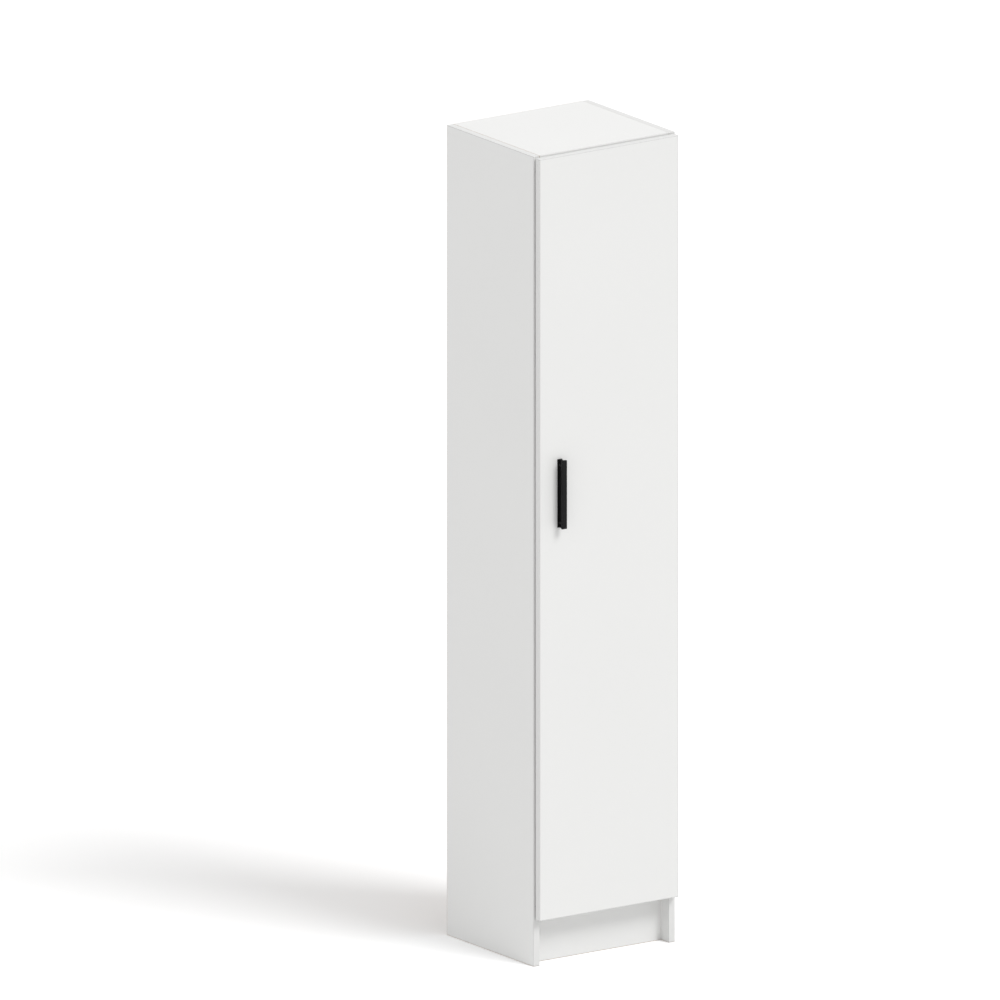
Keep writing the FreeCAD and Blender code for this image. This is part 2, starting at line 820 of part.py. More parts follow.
def build_wall_bracket():
    """Angle under the top panel and against the back, with a hole for a wall screw."""
    body = keep(new_body("wall_bracket", ("-bracket_width / 2", "back_front", "ceiling")))
    sketch = sketch_on(body, "YZ")
    draw_polygon(sketch, [
        ("0", "0"), ("-bracket_leg", "0"), ("-bracket_leg", "-bracket_thickness"),
        ("-bracket_thickness", "-bracket_thickness"), ("-bracket_thickness", "-bracket_leg"),
        ("0", "-bracket_leg"),
    ])
    pad(body, sketch, "bracket_width")
    across = ("bracket_screw_inset", "bracket_width - bracket_screw_inset")
    drill(
        body, "XY", "0", "-", [(x, "-bracket_leg / 2") for x in across],
        "screw_diameter / 2 + screw_clearance", "bracket_thickness",
    )
    drill(
        body, "XZ", "0", "-", [("bracket_width / 2", "-wall_hole_drop")],
        "wall_hole_diameter / 2", "bracket_thickness",
    )
    screw = screw_pattern("bracket_screw_pattern", "bracket_thickness")
    copies("wall_bracket_screws", screw, [
        ((f"{sign} * (bracket_width / 2 - bracket_screw_inset)",
          "back_front - bracket_leg / 2", "ceiling - bracket_thickness"), "+Z")
        for sign in (-1, 1)
    ])


# Door

def handle_ends():
    """Heights of the two handle screws, from the handle's lower end."""
    return [f"(handle_length + {sign} * handle_hole_spacing) / 2" for sign in (-1, 1)]


def build_door_panel():
    """Door board with three cup bores and the holes of the handle screws."""
    body = keep(new_body("door_panel", ("door_reveal - half_width", "door_front", "door_bottom")))
    block(body, "XZ", "0", ("0", "0", "door_width", "door_height"), "door_thickness")
    cup_across = "cup_middle + half_width - door_reveal"
    cups = [(cup_across, f"{height} - door_bottom") for height in HINGE_HEIGHTS.values()]
    drill(body, "XZ", "door_thickness", "-", cups, "cup_diameter / 2 + hole_play", "cup_bore_depth")
    pilots = [
        (f"{cup_across} - cup_screw_inboard", f"{height} - door_bottom + {sign} * cup_screw_height")
        for height in HINGE_HEIGHTS.values()
        for sign in (-1, 1)
    ]
    drill(
        body, "XZ", "door_thickness", "-", pilots, "screw_diameter / 2 + hole_play", "screw_pilot_depth"
    )
    holes = [
        ("handle_edge_inset", f"handle_height - door_bottom - handle_length / 2 + {end}")
        for end in handle_ends()
    ]
    drill(
        body, "XZ", "door_thickness", "-", holes,
        "handle_screw_diameter / 2 + screw_clearance", "door_thickness",
    )


def build_handle():
    """Upright pull: a base strip on the door, a web and a head, with a finger groove on each side."""
    across = "door_reveal + handle_edge_inset - half_width"
    low = "handle_height - handle_length / 2"
    body = keep(new_body("handle", (across, "door_front", low)))
    half = "handle_width / 2"
    web = "handle_web / 2"
    head = "handle_projection - handle_head"
    sketch = sketch_on(body, "XY")
    draw_polygon(sketch, [
        (f"-{half}", "0"), (f"-{half}", "-handle_base"), (f"-{web}", "-handle_base"),
        (f"-{web}", f"-({head})"), (f"-{half}", f"-({head})"), (f"-{half}", "-handle_projection"),
        (half, "-handle_projection"), (half, f"-({head})"), (web, f"-({head})"),
        (web, "-handle_base"), (half, "-handle_base"), (half, "0"),
    ])
    pad(body, sketch, "handle_length")
    front = -value("handle_projection")

    def is_front_edge(middle, direction):
        """True for an edge of the face that the hand meets."""
        return abs(middle.y - front) < value("handle_rounding") / 2

    round_edges(body, "handle_rounding", is_front_edge)
    bosses = sketch_on(body, "XZ")
    draw_circles(bosses, [("0", end) for end in handle_ends()], "handle_boss_diameter / 2")
    pad(body, bosses, head, "-")
    drill(
        body, "XZ", "0", "-", [("0", end) for end in handle_ends()],
        "handle_screw_diameter / 2 + hole_play", "handle_screw_hole_depth",
    )
    screw = turned("handle_screw_pattern", [
        ("-handle_screw_head_height", "handle_screw_head_height", "handle_screw_head_diameter"),
        ("0", "door_thickness + handle_screw_bite", "handle_screw_diameter"),
    ])
    screw_recess(screw, "-handle_screw_head_height")
    spots = [((across, "door_back", f"{low} + {end}"), "-Y") for end in handle_ends()]
    copies("handle_screws", screw, spots)


def build_bumpers():
    """Soft discs on the door's back that meet the left side panel's front edge."""
    disc = turned("bumper_pattern", [("0", "door_gap", "bumper_diameter")])
    heights = ("door_bottom + bumper_end_inset", "door_bottom + door_height - bumper_end_inset")
    across = "board_thickness / 2 - half_width"
    copies("door_bumpers", disc, [((across, "door_back", height), "+Y") for height in heights])


# Hinges

def hinge_cup(place, height):
    """Pressed cup in the door with its flange on the door's back."""
    body = keep(new_body(f"{place}_hinge_cup", ("cup_middle", "door_back", height)))
    drum = sketch_on(body, "XZ")
    draw_circles(drum, [("0", "0")], "cup_diameter / 2")
    pad(body, drum, "cup_depth", "-")
    block(
        body, "XZ", "0",
        ("-cup_flange_inboard", "-cup_flange_height / 2",
         "cup_flange_inboard + cup_diameter / 2", "cup_flange_height"),
        "cup_flange_thickness",
    )
    quarter_height = value("cup_flange_height") / 4

    def is_corner(middle, direction):
        """True for an edge at one of the flange's corners."""
        return abs(direction.y) > abs(direction.x) + abs(direction.z) and abs(middle.z) > quarter_height

    round_edges(body, "cup_flange_rounding", is_corner)
    drill(
        body, "XZ", "cup_flange_thickness", "-", [("0", "0")], "cup_inner_radius",
        "cup_flange_thickness + cup_depth - cup_wall",
    )
    # The open door's outer link lies in a notch of the flange.
    groove(
        body, "XZ", "cup_flange_thickness", "-",
        ("long_cup_pivot_out", "-arm_far", "cup_diameter / 2 - long_cup_pivot_out + overrun", "2 * arm_far"),
        "cup_flange_thickness",
    )
    screws = [("-cup_screw_inboard", f"{sign} * cup_screw_height") for sign in (-1, 1)]
    drill(
        body, "XZ", "cup_flange_thickness", "-", screws,
        "screw_diameter / 2 + screw_clearance", "cup_flange_thickness",
    )


def hinge_arm(place, height):
    """Folded arm over the mounting plate: two cheeks and a web, with a nose that reaches the cup."""
    body = keep(new_body(f"{place}_hinge_arm", ("side_inner", "carcass_front", height)))
    cheeks = sketch_on(body, "XY", "-arm_far")
    draw_polygon(cheeks, [
        ("-arm_foot", "arm_end"), ("-arm_rise", "arm_end"), ("-arm_rise", "arm_bend_rear"),
        ("-(long_arm_pivot_in + link_half_width)", "arm_bend_front"),
        ("-(long_arm_pivot_in + nose_side)", "nose_drop - long_arm_pivot_forward"),
        ("-(short_arm_pivot_in + nose_side)", "nose_drop - short_arm_pivot_forward"),
        ("-(short_arm_pivot_in - nose_side)", "-nose_drop - short_arm_pivot_forward"),
        ("-arm_throat_in", "arm_throat_rear"), ("-arm_foot", "arm_bend_front"),
    ])
    pad(body, cheeks, "2 * arm_far")
    pivots = [
        ("-long_arm_pivot_in", "-long_arm_pivot_forward"),
        ("-short_arm_pivot_in", "-short_arm_pivot_forward"),
    ]
    eyes = sketch_on(body, "XY", "-arm_far")
    draw_circles(eyes, pivots[1:], "link_half_width")
    pad(body, eyes, "2 * arm_far")
    throat = sketch_on(body, "XY", "-arm_near")
    inner_rise = "arm_rise - arm_sheet"
    draw_polygon(throat, [
        ("0", "arm_end + overrun"), (f"-({inner_rise})", "arm_end + overrun"),
        (f"-({inner_rise})", "arm_bend_rear - arm_sheet"),
        ("-(long_arm_pivot_in + link_half_width)", "arm_bend_front - arm_sheet"),
        ("-(long_arm_pivot_in + link_half_width + overrun)", "arm_bend_front - arm_sheet"),
        ("-(long_arm_pivot_in + link_half_width + overrun)", "-(short_arm_pivot_forward + overrun)"),
        ("0", "-(short_arm_pivot_forward + overrun)"),
    ])
    pocket(body, throat, "2 * arm_near", "+")
    drill(body, "XY", "-arm_far", "+", pivots, "pin_hole_radius", "2 * arm_far")
    screws = [("adjuster_front_inset", "0"), ("adjuster_rear_inset", "0")]
    drill(
        body, "YZ", "-arm_rise", "+", screws, "adjuster_diameter / 2 + screw_clearance", "arm_sheet"
    )


def hinge_plate(place, height):
    """Mounting plate on the side panel: a foot, two wings for its screws and a raised block."""
    body = keep(new_body(f"{place}_hinge_plate", ("side_inner", "carcass_front", height)))
    block(
        body, "YZ", "-plate_thickness",
        ("plate_start", "-plate_half_height", "plate_end - plate_start", "2 * plate_half_height"),
        "plate_thickness",
    )
    block(
        body, "YZ", "-plate_thickness",
        ("wing_start", "-wing_half_height", "wing_end - wing_start", "2 * wing_half_height"),
        "plate_thickness",
    )
    rise = "arm_rise - arm_sheet"
    block(
        body, "YZ", f"-({rise})",
        ("plate_block_start", "-plate_block_half_height",
         "plate_block_end - plate_block_start", "2 * plate_block_half_height"),
        f"{rise} - plate_thickness",
    )
    screws = [("wing_screw_inset", f"{sign} * wing_screw_height") for sign in (-1, 1)]
    drill(
        body, "YZ", "-plate_thickness", "+", screws,
        "wing_screw_diameter / 2 + screw_clearance", "plate_thickness",
    )
    adjusters = [("adjuster_front_inset", "0"), ("adjuster_rear_inset", "0")]
    drill(
        body, "YZ", f"-({rise})", "+", adjusters,
        "adjuster_diameter / 2 + hole_play", "adjuster_length",
    )


def long_link(place, height):
    """Outer link: two flat sides joined by a web along the half that is nearer to the arm."""
    body = keep(new_body(f"{place}_hinge_outer_link", ("long_arm_x", "long_arm_y", height)))
    bind(body, Placement__Rotation__Angle="long_link_angle")
    outline = sketch_on(body, "XY", "-link_outer_far")
    draw_slotted_bar(outline, "long_link_length", "link_half_width")
    pad(body, outline, "2 * link_outer_far")
    web_start = "link_half_width - link_web_thickness"
    slot = sketch_on(body, "XY", "-link_outer_near")
    draw_polygon(slot, [
        ("-overrun", "-overrun"), ("long_link_length + overrun", "-overrun"),
        ("long_link_length + overrun", "overrun"), ("long_link_length / 2", "overrun"),
        ("long_link_length / 2", web_start), ("-overrun", web_start),
    ])
    pocket(body, slot, "2 * link_outer_near", "+")
    drill(
        body, "XY", "-link_outer_far", "+", [("0", "0"), ("long_link_length", "0")],
        "pin_hole_radius", "2 * link_outer_far",
    )


def short_link(place, height):
    """Inner link: a solid bar whose cup end is an open fork round its pin."""
    body = keep(new_body(f"{place}_hinge_inner_link", ("short_arm_x", "short_arm_y", height)))
    bind(body, Placement__Rotation__Angle="short_link_angle")
    outline = sketch_on(body, "XY", "-link_inner_half")
    draw_slotted_bar(outline, "short_link_length", "fork_half_width")
    pad(body, outline, "2 * link_inner_half")
    groove(
        body, "XY", "-link_inner_half", "+",
        ("short_link_length - fork_slot_back", "-fork_slot_half",
         "fork_slot_back + overrun", "2 * fork_slot_half"),
        "2 * link_inner_half",
    )
    drill(
        body, "XY", "-link_inner_half", "+", [("0", "0")], "pin_hole_radius", "2 * link_inner_half"
    )


def hinge_pins(label, spots):
    """Upright pins in every hinge: each spot gives a place, a lower end and an upper end."""
    placed = []
    for across, rearward, low, high in spots:
        pin = turned(f"{label}_pattern", [(low, f"{high} - ({low})", "hinge_pin_diameter")])
        placed += [(pin, (across, rearward, height), "+Z") for height in HINGE_HEIGHTS.values()]
    gather(label, placed)


def half_chord(offset):
    """Half the length of a flat ended pin that fits across the cup at an offset from its middle."""
    reach = f"({offset} + pin_radius)"
    return f"sqrt(cup_inner_radius * cup_inner_radius - {reach} * {reach}) - hole_play"


def build_hinges():
    """Three hinges, each from its cup to its plate, and the screws of all three."""
    for place, height in HINGE_HEIGHTS.items():
        hinge_cup(place, height)
        hinge_arm(place, height)
        hinge_plate(place, height)
        long_link(place, height)
        short_link(place, height)
    hinge_pins("hinge_arm_pins", [
        ("long_arm_x", "long_arm_y", "-arm_far", "arm_far"),
        ("short_arm_x", "short_arm_y", "-arm_far", "arm_far"),
    ])
    # The outer link turns on two short pins, so that the inner link can pass between them.
    long_half = half_chord("long_cup_pivot_out")
    short_half = half_chord("short_cup_pivot_out")
    hinge_pins("hinge_cup_pins", [
        ("long_cup_x", "long_cup_y", f"-({long_half})", "-link_outer_near"),
        ("long_cup_x", "long_cup_y", "link_outer_near", long_half),
        ("short_cup_x", "short_cup_y", f"-({short_half})", short_half),
    ])
    cup_screw = screw_pattern("cup_screw_pattern", "cup_flange_thickness")
    spots = [
        (("cup_middle - cup_screw_inboard", "door_back + cup_flange_thickness",
          f"{height} + {sign} * cup_screw_height"), "-Y")
        for height in HINGE_HEIGHTS.values() for sign in (-1, 1)
    ]
    copies("hinge_cup_screws", cup_screw, spots)
    plate_screw = turned("plate_screw_pattern", [
        ("-wing_screw_head_height", "wing_screw_head_height", "wing_screw_head_diameter"),
        ("0", "plate_thickness + wing_screw_bite", "wing_screw_diameter - 2 * hole_play"),
    ])
    screw_recess(plate_screw, "-wing_screw_head_height")
    spots = [
        (("side_inner - plate_thickness", "carcass_front + wing_screw_inset",
          f"{height} + {sign} * wing_screw_height"), "+X")
        for height in HINGE_HEIGHTS.values() for sign in (-1, 1)
    ]
    copies("hinge_plate_screws", plate_screw, spots)
    adjuster = turned("adjuster_pattern", [
        ("-adjuster_head_height", "adjuster_head_height", "adjuster_head_diameter"),
        ("0", "adjuster_length", "adjuster_diameter"),
    ])
    screw_recess(adjuster, "-adjuster_head_height")
    spots = [
        (("side_inner - arm_rise", f"carcass_front + {inset}", height), "+X")
        for height in HINGE_HEIGHTS.values()
        for inset in ("adjuster_front_inset", "adjuster_rear_inset")
    ]
    copies("hinge_adjusters", adjuster, spots)


# Writing the pieces

def check_document():
    """Stop on any object that failed and on any piece without a sound shape."""
    for thing in doc.Objects:
        if {"Invalid", "Error"} & set(thing.State):
            raise RuntimeError(f"{thing.Label} failed: {thing.State}")
    for thing in nodes:
        shape = thing.Shape
        if shape.isNull() or not shape.isValid() or not shape.Solids:
            raise RuntimeError(f"{thing.Label} has no sound shape")


def write_pieces():
    """Write each piece's shape under its own name."""
    os.makedirs("parts", exist_ok=True)
    for thing in nodes:
        thing.Shape.exportStep(f"parts/{thing.Label}.step")
        box = thing.Shape.BoundBox
        print(
            f"{thing.Label}: {len(thing.Shape.Solids)} solids, {thing.Shape.Volume:.1f} mm3, "
            f"x {box.XMin:.2f} {box.XMax:.2f}, y {box.YMin:.2f} {box.YMax:.2f}, "
            f"z {box.ZMin:.2f} {box.ZMax:.2f}"
        )


build_side_panels()
build_cross_boards()
build_loose_shelves()
build_plinth()
build_back()
build_fittings()
build_shelf_pins()
build_plinth_blocks()
build_wall_bracket()
build_door_panel()
build_handle()
build_bumpers()
build_hinges()
doc.recompute()
check_document()
write_pieces()
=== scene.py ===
"""Looks of a tall one-door storage cabinet: faced boards, a black pull, plated hinges and fittings."""

import json
import logging
import math
from dataclasses import dataclass
from enum import Enum
from functools import reduce
from typing import ClassVar, Mapping, Optional, Sequence, Union

import bmesh
import bpy
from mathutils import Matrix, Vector

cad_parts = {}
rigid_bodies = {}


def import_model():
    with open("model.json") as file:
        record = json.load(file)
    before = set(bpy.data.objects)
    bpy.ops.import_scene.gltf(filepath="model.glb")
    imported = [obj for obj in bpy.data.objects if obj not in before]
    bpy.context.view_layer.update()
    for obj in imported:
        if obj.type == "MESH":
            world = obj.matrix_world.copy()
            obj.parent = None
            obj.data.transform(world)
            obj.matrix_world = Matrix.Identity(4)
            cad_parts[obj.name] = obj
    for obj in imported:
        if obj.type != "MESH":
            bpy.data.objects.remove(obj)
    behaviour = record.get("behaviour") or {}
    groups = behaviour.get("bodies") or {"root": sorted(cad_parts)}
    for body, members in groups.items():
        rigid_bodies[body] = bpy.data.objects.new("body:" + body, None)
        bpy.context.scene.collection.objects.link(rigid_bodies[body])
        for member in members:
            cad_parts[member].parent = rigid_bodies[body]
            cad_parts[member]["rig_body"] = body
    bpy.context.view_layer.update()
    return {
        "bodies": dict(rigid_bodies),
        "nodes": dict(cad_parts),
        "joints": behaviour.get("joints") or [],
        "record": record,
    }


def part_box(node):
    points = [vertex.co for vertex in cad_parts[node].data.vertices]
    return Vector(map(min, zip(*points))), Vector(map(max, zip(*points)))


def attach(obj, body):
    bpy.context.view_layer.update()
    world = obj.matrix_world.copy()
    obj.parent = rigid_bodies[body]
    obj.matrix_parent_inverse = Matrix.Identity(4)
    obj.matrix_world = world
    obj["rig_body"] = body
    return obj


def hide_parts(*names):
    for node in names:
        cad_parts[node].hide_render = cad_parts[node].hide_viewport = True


LOG = logging.getLogger("cabinet")
SEED = 7

Colour = tuple[float, float, float]
Scales = tuple[float, float, float]
Weights = tuple[float, ...]
Profile = tuple[tuple[float, float], ...]

EVEN: Scales = (1.0, 1.0, 1.0)
QUARTER_TURN = math.pi / 2
EIGHTH_TURN = math.pi / 4
MERGE_DISTANCE = 2e-6  # corners nearer than this are one
ON_SIDE = 1e-5  # a corner nearer than this lies on a box's side
FLAT_ANGLE = math.radians(0.4)  # faces that meet at less are one
SHARP_ANGLE = math.radians(38)
TURNED_SHARP_ANGLE = math.radians(32)
SHORTEST_EDGE = 2.2  # of an edge that is rounded, in radii of the rounding


# Nodes


class Signal:
    """One output socket of a node tree, with sums written as Python expressions."""

    def __init__(self, graph: "NodeGraph", socket: bpy.types.NodeSocket) -> None:
        """Wraps an output socket of a tree."""
        self.graph = graph
        self.socket = socket

    def _math(self, operation: str, *terms: "Value") -> "Signal":
        """One Math node, with its numbers or links in order."""
        return self.graph.signal("ShaderNodeMath", {"operation": operation}, dict(enumerate(terms)))

    def __add__(self, other: "Value") -> "Signal":
        """Sum of two numbers."""
        return self._math("ADD", self, other)

    def __radd__(self, other: "Value") -> "Signal":
        """Sum, with a plain number first."""
        return self._math("ADD", other, self)

    def __sub__(self, other: "Value") -> "Signal":
        """Difference of two numbers."""
        return self._math("SUBTRACT", self, other)

    def __rsub__(self, other: "Value") -> "Signal":
        """Difference, with a plain number first."""
        return self._math("SUBTRACT", other, self)

    def __mul__(self, other: "Value") -> "Signal":
        """Product of two numbers."""
        return self._math("MULTIPLY", self, other)

    def __rmul__(self, other: "Value") -> "Signal":
        """Product, with a plain number first."""
        return self._math("MULTIPLY", other, self)

    def __abs__(self) -> "Signal":
        """Size without its sign."""
        return self._math("ABSOLUTE", self)

    def larger(self, other: "Value") -> "Signal":
        """The larger of two numbers."""
        return self._math("MAXIMUM", self, other)

    def rise(self, low: float, high: float) -> "Signal":
        """A smooth step from 0 at the low number to 1 at the high one."""
        limits = {"Value": self, "From Min": low, "From Max": high}
        return self.graph.signal("ShaderNodeMapRange", {"interpolation_type": "SMOOTHSTEP"}, limits)


Value = Union[float, int, Colour, Signal]


def weighed(weights: Weights, *patterns: Signal) -> Value:
    """A sum of patterns.

    Args:
        weights: The number without the patterns, and then what each pattern adds at 1.
        patterns: The patterns, in the same order. The last ones may have no weight.

    Returns:
        The sum.
    """
    total: Value = weights[0]
    for weight, pattern in zip(weights[1:], patterns):
        if weight:
            total = total + weight * pattern
    return total


class NodeGraph:
    """A node tree that is made one node at a time."""

    def __init__(self, tree: bpy.types.NodeTree) -> None:
        """Takes the tree of a material, a world or a modifier, and empties it."""
        self.tree = tree
        self.tree.nodes.clear()

    def node(
        self,
        kind: str,
        settings: Optional[Mapping[str, object]] = None,
        inputs: Optional[Mapping[Union[int, str], object]] = None,
    ) -> bpy.types.Node:
        """Adds a node.

        Args:
            kind: The node's type.
            settings: Its properties, which are set first.
            inputs: A number, colour, Signal or output socket for each input, by name or index.

        Returns:
            The new node.
        """
        made = self.tree.nodes.new(kind)
        for name, setting in (settings or {}).items():
            setattr(made, name, setting)
        for name, given in (inputs or {}).items():
            socket = made.inputs[name]
            source = given.socket if isinstance(given, Signal) else given
            if isinstance(source, bpy.types.NodeSocket):
                self.tree.links.new(source, socket)
            elif socket.type == "RGBA":
                socket.default_value = (*given, 1.0)
            else:
                socket.default_value = given
        return made

    def signal(
        self,
        kind: str,
        settings: Optional[Mapping[str, object]] = None,
        inputs: Optional[Mapping[Union[int, str], object]] = None,
        output: Union[int, str] = 0,
    ) -> Signal:
        """Adds a node, and gives the output of this name or index."""
        return Signal(self, self.node(kind, settings, inputs).outputs[output])

    def seen(self) -> Signal:
        """The rays that show as they are.

        Returns:
            1 for a ray from the camera, or one that a mirror or glass sends on, and else 0.
        """
        path = self.node("ShaderNodeLightPath")
        kinds = ("Camera", "Glossy", "Transmission")
        return reduce(Signal.larger, [Signal(self, path.outputs[f"Is {kind} Ray"]) for kind in kinds])


@dataclass(frozen=True)
class Grain:
    """A soft random pattern: features in a metre, octaves, the share each keeps, and its stretch."""

    scale: float
    detail: float = 2.0
    roughness: float = 0.5
    lie: Scales = EVEN


class ShaderGraph(NodeGraph):
    """The shader of one material."""

    def __init__(self, name: str) -> None:
        """Makes the material.

        Args:
            name: The material's name.
        """
        self.material = bpy.data.materials.new(name)
        self.material.use_nodes = True
        super().__init__(self.material.node_tree)
        self.place = self.signal("ShaderNodeTexCoord", output="Object")
        parts = self.node("ShaderNodeSeparateXYZ", inputs={0: self.place})
        self.axes = tuple(Signal(self, output) for output in parts.outputs)

    def stretched(self, scale: Scales) -> Signal:
        """The place, with each axis scaled by its own factor."""
        mapping = {"Vector": self.place, "Scale": scale}
        return self.place if scale == EVEN else self.signal("ShaderNodeMapping", inputs=mapping)

    def ragged(self, place: Signal, grain: Grain, reach: float) -> Signal:
        """Coordinates that wander by a reach in metres, so that borders drawn on them are ragged."""
        terms = {0: self.noise(grain, place, "Color"), 1: (reach, reach, reach), 2: place}
        return self.signal("ShaderNodeVectorMath", {"operation": "MULTIPLY_ADD"}, terms)

    def noise(self, grain: Grain, place: Optional[Signal] = None, output: Union[int, str] = 0) -> Signal:
        """Soft random variation.

        Args:
            grain: Its pattern.
            place: Coordinates, or None for the pattern's own.
            output: 0 for a number, or Color for three of them.

        Returns:
            Numbers round 0.5.
        """
        inputs = {
            "Vector": place or self.stretched(grain.lie),
            "Scale": grain.scale,
            "Detail": grain.detail,
            "Roughness": grain.roughness,
        }
        return self.signal("ShaderNodeTexNoise", inputs=inputs, output=output)

    def cells(self, scale: float, output: str, place: Signal) -> Signal:
        """Cells, so many in a metre: their Distance from the middle, or a random Color in each."""
        inputs = {"Vector": place, "Scale": scale}
        return self.signal("ShaderNodeTexVoronoi", inputs=inputs, output=output)

    def shade(self, colour: Value, amount: Value) -> Signal:
        """A colour made lighter or darker by a factor."""
        return self.signal("ShaderNodeVectorMath", {"operation": "SCALE"}, {0: colour, 3: amount})

    def mix(self, factor: Value, first: Value, second: Value) -> Signal:
        """The first colour where the factor is 0 and the second where it is 1."""
        inputs = {0: factor, 6: first, 7: second}  # 6, 7 and output 2 are the node's colours
        return self.signal("ShaderNodeMix", {"data_type": "RGBA"}, inputs, 2)

    def relief(self, height: Value, depth: float) -> Signal:
        """Normals of a relief whose height of 1 stands for a depth in metres."""
        return self.signal("ShaderNodeBump", inputs={"Height": height, "Distance": depth})

    def surface(self, **inputs: Value) -> None:
        """Ends the material in one shader.

        Args:
            inputs: Values of the shader's sockets, with an underscore for each space.
        """
        named = {name.replace("_", " "): given for name, given in inputs.items()}
        shader = self.node("ShaderNodeBsdfPrincipled", inputs=named)
        self.node("ShaderNodeOutputMaterial", inputs={"Surface": shader.outputs[0]})


# Finishes


class Side(Enum):
    """A side of a board: the axis that it crosses, and 1 or -1 for the way that it looks."""

    LEFT = (0, -1)
    RIGHT = (0, 1)
    FRONT = (1, -1)
    REAR = (1, 1)
    UNDER = (2, -1)
    TOP = (2, 1)

    @property
    def axis(self) -> int:
        """Index of the axis that the side crosses."""
        return self.value[0]

    @property
    def sense(self) -> int:
        """1 where the side looks along its axis, and -1 where it looks against it."""
        return self.value[1]

    @property
    def way(self) -> Vector:
        """The direction that the side looks in."""
        return Vector([self.sense if index == self.axis else 0 for index in range(3)])


Planes = tuple[tuple[Side, float], ...]


@dataclass(frozen=True)
class Finish:
    """A surface finish. Its material is made when a piece first asks for it."""

    name: str
    slot: str

    def material(self) -> bpy.types.Material:
        """The finish as a material.

        Returns:
            The material of this name, new or made before.
        """
        found = bpy.data.materials.get(self.name)
        if found is None:
            graph = ShaderGraph(self.name)
            self.paint(graph)
            found = graph.material
        return found

    def paint(self, graph: ShaderGraph) -> None:
        """Adds the finish's nodes to an empty shader."""
        raise NotImplementedError


@dataclass(frozen=True)
class Core:
    """Bare chipboard or fibreboard: chips of two sizes, which lie along a board, and fibres.

    The scale is coarse chips in a metre, the wander is in their widths, and the ratios multiply it.
    """

    light: Colour = (0.56, 0.41, 0.25)
    dark: Colour = (0.27, 0.17, 0.09)
    scale: float = 620.0
    lie: Scales = EVEN
    wander: float = 2.0
    wander_detail: float = 3.0
    chip_share: float = 0.65
    coarse_share: float = 0.6
    fine_ratio: float = 2.3
    fibre_ratio: float = 3.0
    fibre_detail: float = 4.0
    fibre_roughness: float = 0.7
    roughness: float = 0.92
    height: float = 1.5

    def mottle(self, graph: ShaderGraph) -> Signal:
        """The chips and fibres.

        Args:
            graph: The shader that they are drawn in.

        Returns:
            Their tone, from 0 for the darkest to 1.
        """
        wandering = Grain(self.scale, self.wander_detail)
        place = graph.ragged(graph.stretched(self.lie), wandering, self.wander / self.scale)
        coarse = graph.cells(self.scale, "Color", place)
        fine = graph.cells(self.fine_ratio * self.scale, "Color", place)
        chips = self.coarse_share * coarse + (1.0 - self.coarse_share) * fine
        threads = Grain(self.fibre_ratio * self.scale, self.fibre_detail, self.fibre_roughness)
        return self.chip_share * chips + (1.0 - self.chip_share) * graph.noise(threads, place)


@dataclass(frozen=True)
class CoatedBoard(Finish):
    """Board with a pearled white skin, thin edge bands, and a bare core where nothing is glued on.

    A glue line starts and ends at shares of its width from its middle, and a shade of 1 is black.
    """

    core: Core = Core()
    bare: Planes = ()
    seams: Planes = ()
    skin: Colour = (0.84, 0.84, 0.83)
    haze: Grain = Grain(2.2, 3.0, 0.45)
    pulp: Grain = Grain(650.0, 3.0, 0.6)
    pearl: Grain = Grain(950.0, 1.0)
    tone: Weights = (0.97, 0.035, 0.025)
    roughness: Weights = (0.37, 0.1)
    pearl_height: float = 0.5
    depth: float = 0.0002
    border: float = 0.00004
    seam_width: float = 0.00045
    seam_shares: tuple[float, float] = (0.2, 0.5)
    seam_shade: float = 0.55
    band_shade: float = 0.09

    def beyond(self, graph: ShaderGraph, planes: Planes) -> Signal:
        """What lies outside some planes.

        Args:
            graph: The shader that it is drawn in.
            planes: Each side with the coordinate of its plane.

        Returns:
            1 outside any of the planes, and else 0.
        """
        masks = []
        for side, place in planes:
            along, edge = side.sense * graph.axes[side.axis], side.sense * place
            masks.append(along.rise(edge - self.border, edge + self.border))
        return reduce(Signal.larger, masks)

    def glued(self, graph: ShaderGraph) -> Signal:
        """The glue lines of the edge bands.

        Args:
            graph: The shader that they are drawn in.

        Returns:
            1 along a line, and else 0.
        """
        near, far = (share * self.seam_width for share in self.seam_shares)
        lines = [1.0 - abs(graph.axes[side.axis] - place).rise(near, far) for side, place in self.seams]
        return reduce(Signal.larger, lines)

    def paint(self, graph: ShaderGraph) -> None:
        """Adds the skin, its glue lines, and the core where it is bare.

        Args:
            graph: The empty shader.
        """
        haze, pulp = graph.noise(self.haze), graph.noise(self.pulp)
        tone = weighed(self.tone, haze, pulp)
        if self.seams:
            bands = 1.0 - self.band_shade * self.beyond(graph, self.seams)
            tone = tone * bands * (1.0 - self.seam_shade * self.glued(graph))
        colour = graph.shade(self.skin, tone)
        roughness = weighed(self.roughness, pulp)
        height = self.pearl_height * graph.noise(self.pearl)
        if self.bare:
            bare, mottle = self.beyond(graph, self.bare), self.core.mottle(graph)
            core = graph.mix(mottle, self.core.dark, self.core.light)
            colour = graph.mix(bare, colour, core)
            roughness = roughness * (1.0 - bare) + self.core.roughness * bare
            height = height * (1.0 - bare) + self.core.height * mottle * bare
        graph.surface(Base_Color=colour, Roughness=roughness, Normal=graph.relief(height, self.depth))


